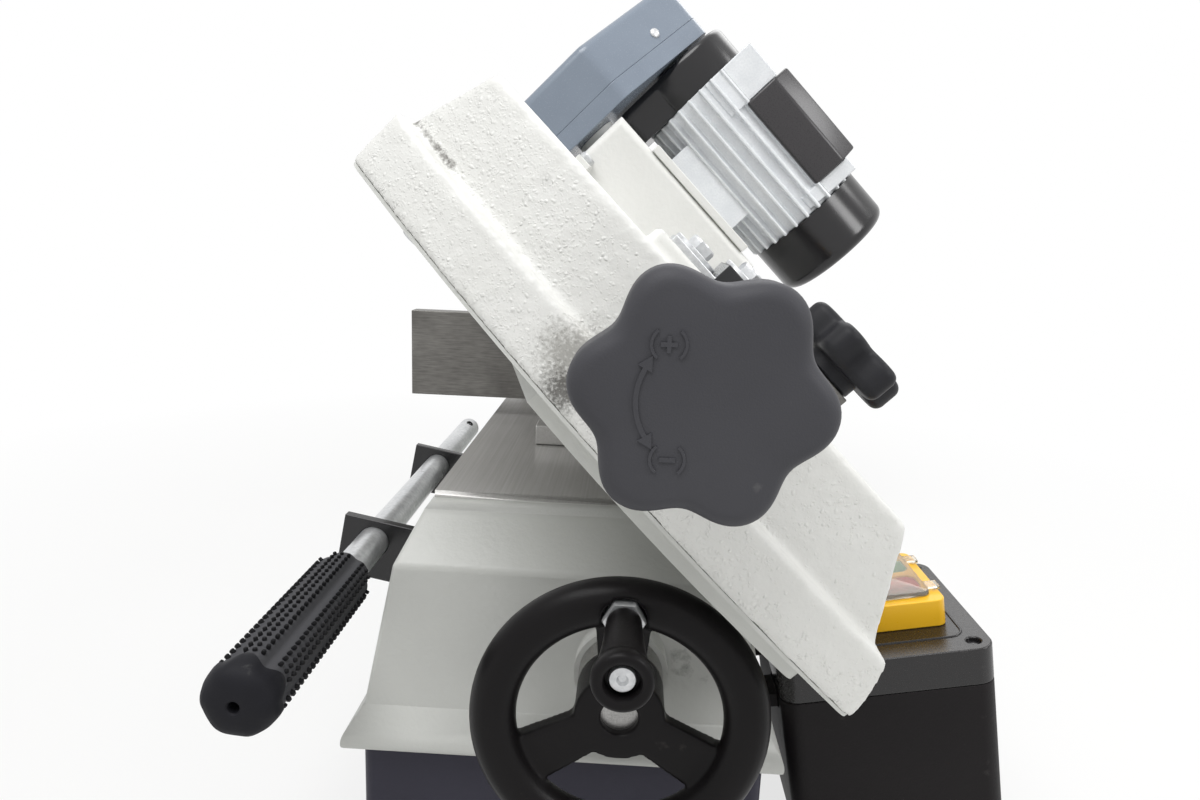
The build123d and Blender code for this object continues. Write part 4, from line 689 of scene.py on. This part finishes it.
def copyTree():
    tree = bpy.data.node_groups.new("placeCopies", "GeometryNodeTree")
    for name, kind in (("Geometry", "Geometry"), ("Shape", "Object"), ("Size", "Float"), ("Turn", "Float"),
                       ("Seed", "Int"), ("Finish", "Material")):
        tree.interface.new_socket(name, in_out="INPUT", socket_type="NodeSocket" + kind)
    tree.interface.new_socket("Geometry", in_out="OUTPUT", socket_type="NodeSocketGeometry")
    given = addNode(tree, "NodeGroupInput").outputs
    axis, side = (addNode(tree, "GeometryNodeInputNamedAttribute", {"Name": name},
                          data_type="FLOAT_VECTOR").outputs[0] for name in ("axis", "side"))
    upright = addNode(tree, "FunctionNodeAlignRotationToVector", {"Vector": axis}, axis="Z")
    facing = addNode(tree, "FunctionNodeAlignRotationToVector",
                     {"Rotation": upright.outputs[0], "Vector": side}, axis="X", pivot_axis="Z")
    chance = addNode(tree, "FunctionNodeRandomValue", {"Max": given["Turn"], "Seed": given["Seed"]},
                     data_type="FLOAT")
    spin = addNode(tree, "FunctionNodeAxisAngleToRotation",
                   {"Axis": (0, 0, 1), "Angle": chance.outputs["Value"]})
    turned = addNode(tree, "FunctionNodeRotateRotation",
                     {"Rotation": facing.outputs[0], "Rotate By": spin.outputs[0]}, rotation_space="LOCAL")
    shape = addNode(tree, "GeometryNodeObjectInfo", {"Object": given["Shape"]})
    copies = addNode(tree, "GeometryNodeInstanceOnPoints",
                     {"Points": given["Geometry"], "Instance": shape.outputs["Geometry"],
                      "Rotation": turned.outputs[0], "Scale": given["Size"]})
    real = addNode(tree, "GeometryNodeRealizeInstances", {"Geometry": copies.outputs[0]})
    done = addNode(tree, "GeometryNodeSetMaterial",
                   {"Geometry": real.outputs[0], "Material": given["Finish"]})
    addNode(tree, "NodeGroupOutput", {"Geometry": done.outputs[0]})
    return tree


placeCopies = copyTree()


def copiesMesh(name, shape, places, material, turn=0.0, seed=1):
    # places: (point in mm, axis the shape's Z follows, side its X follows)
    mesh = bpy.data.meshes.new(name)
    mesh.from_pydata([Vector(p) * mm for p, axis, side in places], [], [])
    for key, index in (("axis", 1), ("side", 2)):
        values = [c for place in places for c in place[index]]
        mesh.attributes.new(key, "FLOAT_VECTOR", "POINT").data.foreach_set("vector", values)
    source = linkNew(name + "Shape", shape)
    obj = linkNew(name, mesh)
    modifier = obj.modifiers.new("copies", "NODES")
    modifier.node_group = placeCopies
    wanted = {"Shape": source, "Size": 1.0, "Turn": turn, "Seed": seed, "Finish": material}
    for item in placeCopies.interface.items_tree:
        if item.in_out == "INPUT" and item.name in wanted:
            modifier[item.identifier] = wanted[item.name]
    result = plainMesh(obj)
    bpy.data.objects.remove(source)
    return result


def onBow(u, y, v):
    return tuple(bowPlace @ (Vector((u, y, v)) * mm) / mm)


def bowWay(u, y, v):
    return tuple(bowPlace.to_3x3() @ Vector((u, y, v)))


def turnedPlace(x, y, z, turn):
    return Matrix.Translation(Vector((x, y, z)) * mm) @ Matrix.Rotation(turn, 4, "X")


# knobs; raised on the large one, a double arrow between a plus and a minus in brackets
tensionKnob = {"tip": 42, "valley": 35.0, "lobes": 6, "turn": -7.3, "thick": 25.1, "edge": 6.5, "back": -454,
               "sunk": 0.5, "raised": 0.9, "ring": 20.5, "line": 1.5, "arrow": 4.4, "arrowEnds": (152, 212),
               "plus": 124, "minus": 240, "sign": 5, "signLine": 1.3,
               "bracket": 5.2, "bracketLine": 0.9, "bracketFrom": (130, -50), "bracketSpan": 100}
guideKnob = {"tip": 32, "valley": 23.5, "lobes": 6, "turn": 0, "thick": 18, "edge": 5, "boss": 15,
             "bossLength": 7, "stem": 5, "stemEnd": -22, "u": 70, "y": -292.5, "seat": 40.6}


def lobedHead(spec, count=144):
    # flower-shaped head, full round at the rim, its face faintly crowned
    swing = (spec["tip"] - spec["valley"]) / 2
    middle = (spec["tip"] + spec["valley"]) / 2

    def reach(angle):
        wave = cos(spec["lobes"] * (angle - radians(spec["turn"])))
        return swing * (wave + 0.12 * (1 - wave * wave))

    edge, thick = spec["edge"], spec["thick"]
    profile = []
    for i in range(9):
        a = pi / 2 * i / 8
        profile.append((middle - edge * (1 - sin(a)), edge * (1 - cos(a))))
    for i in range(9):
        a = pi / 2 * i / 8
        profile.append((middle - edge * (1 - cos(a)), thick - edge * (1 - sin(a))))
    face = [(middle - edge - 6, thick + 0.3), (middle - edge - 16, thick + 0.4)]
    return lathe(profile + face, count, reach)


def arcBand(radius, width, start, end, low, high, count=18):
    angles = [radians(start + (end - start) * i / count) for i in range(count + 1)]
    outer = [((radius + width / 2) * cos(a), (radius + width / 2) * sin(a)) for a in angles]
    inner = [((radius - width / 2) * cos(a), (radius - width / 2) * sin(a)) for a in reversed(angles)]
    return prism(outer + inner, low, high)


def arrowHead(radius, angle, way, size, low, high):
    a = radians(angle)
    out = Vector((cos(a), sin(a)))
    along = Vector((-sin(a), cos(a))) * way
    middle = out * radius
    return prism([middle + out * size * 0.55, middle + along * size, middle - out * size * 0.55], low, high)


def signMark(radius, angle, length, width, plus, low, high):
    # a minus, or a plus drawn as one outline
    a = radians(angle)
    far, near = length / 2, width / 2
    corners = [(far, -near), (far, near), (-far, near), (-far, -near)]
    if plus:
        corners = [(far, -near), (far, near), (near, near), (near, far), (-near, far), (-near, near),
                   (-far, near), (-far, -near), (-near, -near), (-near, -far), (near, -far), (near, -near)]
    return prism([(radius * cos(a) + x, radius * sin(a) + y) for x, y in corners], low, high)


def makeTensionKnob(spec):
    low, high = spec["thick"] - spec["sunk"], spec["thick"] + spec["raised"]
    ring, arrow, (first, last) = spec["ring"], spec["arrow"], spec["arrowEnds"]
    marks = [arcBand(ring, spec["line"], first, last, low, high), arrowHead(ring, last, 1, arrow, low, high),
             arrowHead(ring, first, -1, arrow, low, high)]
    for angle, plus in ((spec["plus"], True), (spec["minus"], False)):
        marks.append(signMark(ring, angle, spec["sign"], spec["signLine"], plus, low, high))
        centre = Vector((cos(radians(angle)), sin(radians(angle)))) * ring
        for start in spec["bracketFrom"]:
            end = start + spec["bracketSpan"]
            verts, faces = arcBand(spec["bracket"], spec["bracketLine"], start, end, low, high)
            marks.append(([(x + centre.x, y + centre.y, z) for x, y, z in verts], faces))
    place = turnedPlace(bow["x"], spec["back"], bow["z"], pi / 2)
    head = buildMesh("tensionKnob", [lobedHead(spec)] + marks, place)
    addPiece("tensionKnob", head, knobNylon, "tension", ["tension_knob"])


def makeGuideKnob(spec):
    boss, long, stem = spec["boss"], spec["bossLength"], spec["stem"]
    shells = [lobedHead(spec), lathe([(boss - 1, -long), (boss, 1 - long), (boss, 2), (boss - 3, 3)]),
              lathe([(stem, spec["stemEnd"]), (stem, 1 - long)], 24)]
    place = bowPlace @ Matrix.Translation(Vector((spec["u"], spec["y"], spec["seat"] + long)) * mm)
    addPiece("guideKnob", buildMesh("guideKnob", shells, place), starNylon, "guide_lock",
             ["guide_knob"])


makeTensionKnob(tensionKnob)
makeGuideKnob(guideKnob)
print("knobs made")

# handwheel with its crank
crank = {"x": 27, "z": 178, "root": -412.3, "length": 46}


def makeCrank(spec):
    place = turnedPlace(spec["x"], spec["root"], spec["z"], pi / 2)
    end = spec["length"]
    outline = [(4.2, 0.2), (6.7, 0), (7.2, 0.6), (7.3, 2), (7.7, 10), (8.2, 20), (9.1, 30), (10, 36),
               (10.2, 38.4), (10.9, 39.2), (11.4, 41), (11.5, 43.2), (11.2, 44.8), (10.4, 45.7), (9.4, end),
               (8.2, end - 0.2), (7.2, end - 0.8), (6.7, end - 2.4), (6.5, end - 6.2), (4.2, end - 6.3)]
    addPiece("crankGrip", buildMesh("crankGrip", [turnedRing(outline, 64)], place), wheelPhenolic, "crank",
             ["crank_grip"])
    nut = [[(r * cos(pi / 3 * i), r * sin(pi / 3 * i), h) for i in range(6)]
           for r, h in ((8.5, -0.3), (9.0, -1.1), (9.0, -9.4), (8.5, -10.3))]
    pin = lathe([(4, -18), (4, end - 6), (5, end - 5.9), (5, end - 4.2), (4.6, end - 3.3), (3, end - 3),
                 (2.2, end - 3), (1.4, end - 4.4)], 32)
    addPiece("crankBolt", buildMesh("crankBolt", [skin(nut), pin], place), zincPlate, "handwheel",
             ["crank_spindle"])


makeCrank(crank)
moulded("vise_handwheel", voxel=1.15, times=5)
print("handwheel made")

# pull-out handle
grip = {"x": -122, "z": 146, "near": -437, "length": 125, "boreR": 9.4, "around": 120,
        "flutes": 6, "fluteDepth": 2.1, "fluteWide": 12, "fluteFall": 2.718, "firstFlute": 55,
        "capEdge": 12.5, "capR": 12, "capRings": 11, "scallop": 2.0,
        "studRows": 24, "studPitch": 4.4, "studFirst": 18, "studRing": 14.7, "studR": 1.0, "studHigh": 1.6,
        "studTurns": (-14, 0, 14)}


def gripRings(spec):
    # (radius, distance from the end, share of the flute) from the end hole over the cap and back to the bore
    shape = [(2.2, 6, 0), (2.5, 0.7, 0), (3.1, 0.1, 0), (6, 0, 0), (10, 0.6, 0), (13, 2, 0), (15, 4.4, 0.12),
             (16, 7.2, 0.26), (16.3, 10, 0.36), (16.2, 12, 0.4), (15.8, 12.45, 0.4), (15.1, 12.6, 0.9),
             (14.9, 16, 1), (14.9, 40, 1), (14.9, 80, 1), (14.9, 118, 1), (14.7, 122, 0.9), (14, 124.2, 0.6),
             (12.8, 125, 0.3), (9.3, 125, 0), (9.05, 124.5, 0), (9.05, 15, 0)]
    edge, length, step = spec["capEdge"], spec["length"], 2 * pi / spec["flutes"]
    rings = []
    for radius, along, share in shape:
        ring = []
        for i in range(spec["around"]):
            a = 2 * pi * i / spec["around"]
            off = (a - radians(spec["firstFlute"]) + step / 2) % step - step / 2
            dip = spec["fluteFall"] ** (-(off / radians(spec["fluteWide"])) ** 2)
            r = radius - share * spec["fluteDepth"] * dip
            cut = edge - spec["scallop"] * cos(spec["flutes"] * off)
            reach = min(1, radius / spec["capR"])
            s = along * (1 + reach * (cut / edge - 1)) if along <= edge else (
                cut + (along - edge) * (length - cut) / (length - edge))
            if radius < spec["boreR"] and along > edge:
                s = along
            ring.append((r * cos(a), -r * sin(a), s))
        rings.append(ring)
    return rings


def makeGrip(spec):
    place = turnedPlace(spec["x"], spec["near"], spec["z"], -pi / 2)
    mesh = buildMesh("handleGrip", [skin(gripRings(spec))], place)
    cap = spec["capRings"] * spec["around"]
    sleeve = [0.0 if i < cap else 1.0 for i in range(len(mesh.vertices))]
    mesh.attributes.new("sleeve", "FLOAT", "POINT").data.foreach_set("value", sleeve)
    addPiece("handleGrip", mesh, gripRubber, "handle", ["handle_grip"])
    r, high = spec["studR"], spec["studHigh"]
    outline = [(r, -0.4), (r, high * 0.6), (r * 0.85, high * 0.88), (r * 0.5, high)]
    stud = buildMesh("gripStud", [lathe(outline, 9)])
    places = []
    for panel in range(spec["flutes"]):
        for turn in spec["studTurns"]:
            a = radians(spec["firstFlute"] + (panel + 0.5) * 360 / spec["flutes"] + turn)
            out = (cos(a), 0, sin(a))
            for row in range(spec["studRows"]):
                along = spec["studFirst"] + row * spec["studPitch"]
                places.append(((spec["x"] + spec["studRing"] * out[0], spec["near"] + along,
                                spec["z"] + spec["studRing"] * out[2]), out, (0, 1, 0)))
    mesh = copiesMesh("gripStuds", stud, places, studRubber)
    addPiece("gripStuds", mesh, studRubber, "handle")


makeGrip(grip)
print("grip made")

# fasteners
hexBolt = {"corner": 7.5, "high": 5.5, "shank": 4, "washer": 13.5, "washerThick": 2.5}
boltPlaces = {
    "base_bolts": [((x, y, 78), (0, 0, -1)) for x in (-80, 80) for y in (-322, 322)]
    + [((x, 39, 207), (0, 0, 1)) for x in (-46.5, 0.5)]
    + [((x, 327.9, 206), (0, 0, 1)) for x in (-23.5, -47.5)]
    + [((-97.3, y, 136.5), (-0.9832, 0, 0.1826)) for y in (-243, -81)],
    "bow_bolts": [(onBow(u, y, 28), bowWay(0, 0, 1)) for u in (-132, 47) for y in (106.8, 241.8)]
    + [(onBow(70, y, 40), bowWay(0, 0, 1)) for y in (56.9, 80.9)]
    + [(onBow(u, 309.9, 4), (0, 1, 0)) for u in (-2, 62)],
    "slide_bolts": [(onBow(-22, -293.9, 32), bowWay(0, 0, 1)), (onBow(5, -293.9, 41.3), bowWay(0, 0, 1))]}


def hexHead(spec, lift):
    # six flats under a turned chamfer
    rings = []
    for share, height in ((0.96, 0), (1, 0.3), (1, 0.78), (0.95, 0.92), (0.86, 1)):
        ring = []
        for i in range(12):
            flat = 1 if i % 2 == 0 else cos(pi / 6)
            r = spec["corner"] * min(flat, share)
            ring.append((r * cos(pi / 6 * i), r * sin(pi / 6 * i), lift + spec["high"] * height))
        rings.append(ring)
    return skin(rings)


def makeBolts(spec, places):
    for node, spots in places.items():
        lift = spec["washerThick"] if node == "slide_bolts" else 0
        shells = [hexHead(spec, lift), lathe([(spec["shank"], -3.4), (spec["shank"], lift)], 20)]
        if lift:
            wide = spec["washer"]
            shells.append(lathe([(wide - 0.4, 0.02), (wide, 0.4), (wide, lift - 0.4), (wide - 0.4, lift)], 40))
        spots = [(point, axis, (0, 1, 0) if abs(axis[1]) < 0.5 else (1, 0, 0)) for point, axis in spots]
        mesh = copiesMesh(node + "Copies", buildMesh("hexBolt", shells), spots, zincPlate, turn=1.0, seed=4)
        addPiece(node + "Hex", mesh, zincPlate, bodyOf[node], [node])


makeBolts(hexBolt, boltPlaces)
print("bolts made")

# saw blade
blade = {"idler": -293.9, "drive": 163.8, "radius": 115.7, "v": -29, "width": 13, "thick": 0.8, "pitch": 2.5,
         "tooth": 1.2, "stops": ((-293.9, 0), (-147.5, 45), (25.4, 45), (163.8, 0))}


def bladeSpots(spec, step):
    # points round the loop with the way out of its flat and the way its teeth point, in bow axes
    spots = []
    span = spec["drive"] - spec["idler"]
    arc = pi * spec["radius"]
    count = round(2 * (span + arc) / step)
    for i in range(count):
        s = 2 * (span + arc) * i / count
        turn = 0
        if s < span:
            y = spec["idler"] + s
            out, at = (1, 0), (spec["radius"], y)
            for (y0, t0), (y1, t1) in zip(spec["stops"], spec["stops"][1:]):
                if y0 <= y <= y1:
                    turn = radians(t0 + (t1 - t0) * (y - y0) / (y1 - y0))
        elif s < span + arc:
            a = (s - span) / spec["radius"]
            out = (cos(a), sin(a))
            at = (spec["radius"] * out[0], spec["drive"] + spec["radius"] * out[1])
        elif s < 2 * span + arc:
            out, at = (-1, 0), (-spec["radius"], spec["drive"] - (s - span - arc))
        else:
            a = pi + (s - 2 * span - arc) / spec["radius"]
            out = (cos(a), sin(a))
            at = (spec["radius"] * out[0], spec["idler"] + spec["radius"] * out[1])
        across = Vector((out[0] * cos(turn), out[1], sin(turn)))
        teeth = Vector((sin(turn), 0, -cos(turn))) if turn else Vector((0, 0, -1))
        spots.append((Vector((at[0], at[1], spec["v"])), across, teeth))
    return spots


def makeBlade(spec):
    band = []
    half, low = spec["thick"] / 2, spec["width"] / 2 - spec["tooth"]
    for at, across, teeth in bladeSpots(spec, 5):
        band.append([at + across * sx * half + teeth * w
                     for sx, w in ((-1, -spec["width"] / 2), (1, -spec["width"] / 2), (1, low), (-1, low))])
    loop = skin(band + [band[0]], ends=False)
    addPiece("bladeBand", buildMesh("bladeBand", [loop], bowPlace), bladeSteel, "bow",
             ["saw_blade"])
    tall, deep, long = spec["tooth"] + 0.1, half, spec["pitch"]
    profile = [(-long * 0.5, 0), (long * 0.5, 0), (long * 0.46, tall), (long * 0.2, tall * 0.55)]
    tooth = buildMesh("bladeTooth", [skin([[(x, y, z) for y, z in profile] for x in (-deep, deep)])])
    spots = [(onBow(*(at + teeth * (low - 0.1))), bowWay(*teeth), bowWay(*across))
             for at, across, teeth in bladeSpots(spec, spec["pitch"])]
    addPiece("bladeTeeth", copiesMesh("bladeTeeth", tooth, spots, bladeSteel), bladeSteel, "bow")


makeBlade(blade)
print("blade made")

# motor end and capacitor box, places in bow axes
# the end bell is black and wide, so that it also stands as painted shade in the gap between motor and guard
endBellAndShade = {"y": 263.8, "v": 172, "bore": 22.6, "rim": 60, "foot": 48, "drop": 88, "near": -112.2, "far": -151,
           "edge": 7, "nearEdge": 0.8, "around": 144}
capacitor = {"u": (-68, 44), "y": (195.8, 261.8), "v": (192, 250), "slope": (20, 21), "round": 2.45}
guardScrew = {"at": (-185.8, 201.5, 168.6), "way": (0, -0.81, 0.586), "side": (0.707, 0, -0.707), "r": 5.5,
              "high": 3, "sunk": 0.5, "rim": 0.4}


def makeEndBellAndShade(spec):
    # black end bell between the motor and the belt guard, round above and square down to the gear case; its
    # black and its width also stand as painted shade in the gap behind the guard
    bore, rim, near, far, edge, small = (spec[k] for k in ("bore", "rim", "near", "far", "edge", "nearEdge"))
    profile = [(-small, near), (0, near - small)]
    profile += [(-edge * (1 - cos(pi / 12 * i)), far + edge * (1 - sin(pi / 12 * i))) for i in range(7)]

    def reach(a):
        if sin(a) >= 0:
            return rim
        return max(rim, min(spec["foot"] / max(abs(cos(a)), 0.001), -spec["drop"] / sin(a)))

    turns = [2 * pi * i / spec["around"] for i in range(spec["around"])]
    rings = [[(u, (reach(a) + r) * cos(a), (reach(a) + r) * sin(a)) for a in turns] for r, u in profile]
    holes = [[(u, bore * cos(a), bore * sin(a)) for a in turns] for u in (near, far)]
    shell = skin([holes[0]] + rings + [holes[1], holes[0]], ends=False)
    place = bowPlace @ Matrix.Translation(Vector((0, spec["y"], spec["v"])) * mm)
    addPiece("motorEndBell", buildMesh("motorEndBell", [shell], place), blackEnamel, "bow")


def makeCapacitor(spec):
    # moulded cover, its front edge cut back to a slope that catches the light
    (y0, y1), (v0, v1), (back, down) = spec["y"], spec["v"], spec["slope"]
    side = [(y0, v0), (y0, v1 - down), (y0 + back, v1), (y1, v1), (y1, v0)]
    mesh = buildMesh("capacitorCover", [skin([[(u, y, v) for y, v in side] for u in spec["u"]])], bowPlace)
    shape = bmesh.new()
    shape.from_mesh(mesh)
    bmesh.ops.bevel(shape, geom=shape.edges[:], offset=spec["round"] * mm, segments=4, profile=0.5,
                    affect="EDGES")
    shape.to_mesh(mesh)
    shape.free()
    addPiece("capacitorCover", mesh, capacitorPlastic, bodyOf["capacitor_box"],
             ["capacitor_box"])


def makeGuardScrew(spec):
    r, rim, dome = spec["r"], spec["rim"], spec["high"] - spec["rim"]
    turns = [pi / 12 * i for i in range(1, 6)]
    outline = [(r, -spec["sunk"]), (r, rim)] + [(r * cos(a), rim + dome * sin(a)) for a in turns]
    head = buildMesh("screwHead", [lathe(outline, 32)])
    spots = [(onBow(*spec["at"]), bowWay(*spec["way"]), spec["side"])]
    addPiece("guardScrewHead", copiesMesh("guardScrew", head, spots, zincPlate), zincPlate, "bow")


makeEndBellAndShade(endBellAndShade)
makeCapacitor(capacitor)
makeGuardScrew(guardScrew)

# the box's side wall: n up the wall, t out of it
wall = {"x": 98, "z": 100, "draft": 10.52}
wallPlace = (Matrix.Translation(Vector((wall["x"], 0, wall["z"])) * mm)
             @ Matrix.Rotation(-radians(wall["draft"]), 4, "Y"))
# raised line round the switch on the box lid
lidBead = {"n": (23, 111), "y": (-315, -235), "top": 13.5, "corner": 7, "wide": 1.8, "high": 0.7}
# clear window over the buttons, hung by two arms at the outer edge
flap = {"n": (60, 101), "y": (-298, -242), "t": (28.9, 31.4), "corner": 5, "edge": 0.8, "lowEdge": 0.3,
        "arms": (-288, -252), "armWide": 8, "armFrom": 100.4, "armEnd": 107.4, "armT": (29.4, 31.0)}


def roundedPlan(spec, grow, t, count=6):
    # the piece's rectangle grown on all sides, at one height
    (n0, n1), (y0, y1) = ((low - grow, high + grow) for low, high in (spec["n"], spec["y"]))
    corner = spec["corner"] + grow
    centres = ((n1 - corner, y1 - corner), (n0 + corner, y1 - corner), (n0 + corner, y0 + corner),
               (n1 - corner, y0 + corner))
    turns = [[pi / 2 * (quarter + i / count) for i in range(count + 1)] for quarter in range(4)]
    return [(n + corner * cos(a), y + corner * sin(a), t) for (n, y), arc in zip(centres, turns) for a in arc]


def makeLidBead(spec):
    section = ((-0.5, -0.3), (-0.3, 0.75), (0, 1), (0.3, 0.75), (0.5, -0.3), (-0.5, -0.3))
    rings = [roundedPlan(spec, out * spec["wide"], spec["top"] + lift * spec["high"]) for out, lift in section]
    mesh = buildMesh("lidBead", [skin(rings, ends=False)], wallPlace)
    addPiece("lidBead", mesh, lidAbs, bodyOf["control_box_lid"])


def makeFlap(spec):
    (low, high), edge, small = spec["t"], spec["edge"], spec["lowEdge"]
    section = ((small, low), (0, low + small), (0, high - edge), (edge * 0.3, high - edge * 0.3), (edge, high))
    shells = [skin([roundedPlan(spec, -inset, t) for inset, t in section])]
    start, end, half = spec["armFrom"], spec["armEnd"], spec["armWide"] / 2
    for y in spec["arms"]:
        corners = [(start, y - half), (end, y - half), (end, y + half), (start, y + half)]
        shells.append(prism(corners, *spec["armT"]))
    addPiece("flapWindow", buildMesh("flapWindow", shells, wallPlace), clearPoly, "flap",
             ["switch_flap"])


makeLidBead(lidBead)
makeFlap(flap)

# spring pin through the rod's far end, which stops it leaving the brackets
stopPin = {"at": (-122, 14, 146), "way": (0.42, -0.25, 0.87), "r": 3, "reach": 10.2}


def makeStopPin(spec):
    r, reach = spec["r"], spec["reach"]
    pin = buildMesh("stopPin", [lathe([(r - 0.5, -reach), (r, 0.5 - reach), (r, reach - 0.5), (r - 0.5, reach),
                                       (r - 1.2, reach), (r - 1.3, reach - 2)], 24)])
    addPiece("rodStopPin", copiesMesh("rodStopPin", pin, [(spec["at"], spec["way"], (1, 0, 0))], blackEnamel),
             blackEnamel, "handle")


makeStopPin(stopPin)
print("motor end and box lid made")

# rounded edges, widths in mm
softEdges = {"gear_case": 1.2, "hinge_arm": 1.5, "movable_jaw": 0.5, "fixed_jaw": 0.5, "vise_carriage": 1.0,
             "front_guide_arm": 0.6, "rear_guide_arm": 0.6, "motor_base": 1.2, "slide_clamp": 0.6,
             "idler_slide": 0.6, "pivot_support": 1.4, "handle_brackets": 0.6, "control_box": 0.8,
             "control_box_lid": 1.0, "switch_frame": 0.7, "start_button": 0.6, "stop_button": 0.6,
             "motor_housing": 1.2, "pulley_cover": 0.9, "pulley_tray": 0.9}
for node, width in softEdges.items():
    softened(node, width)


# the base's deck: its front edge is cast, the bed above it ground
deck = {"frontY": -300, "frontZ": 190.5, "underZ": 189.5}


def castEdge(edge):
    points = [v.co / mm for v in edge.verts]
    front = edge.is_convex and all(p.y < deck["frontY"] and p.z < deck["frontZ"] for p in points)
    return front or all(p.z < deck["underZ"] for p in points)


softened("base_casting", 2.4, shortest=20, wanted=castEdge)
softened("stand_top", 0.9, shortest=20)
print("edges rounded")

# the bow's idler end, in bow axes: its face, its back and its sides down to the throat
idlerEnd = {"from": -250, "face": -400, "back": 12, "half": 139, "lean": 0.1}


def bowFront(point):
    u, y, v = bowPlace.inverted() @ (point * mm) / mm
    side = abs(u) > idlerEnd["half"] + v * idlerEnd["lean"]
    return y < idlerEnd["from"] and (y < idlerEnd["face"] or v > idlerEnd["back"] or side)


moulded("bow_frame", voxel=1.7, times=4, skinDepth=0.5, skinMm=7, fine=bowFront, share=0.3)
print("castings made")
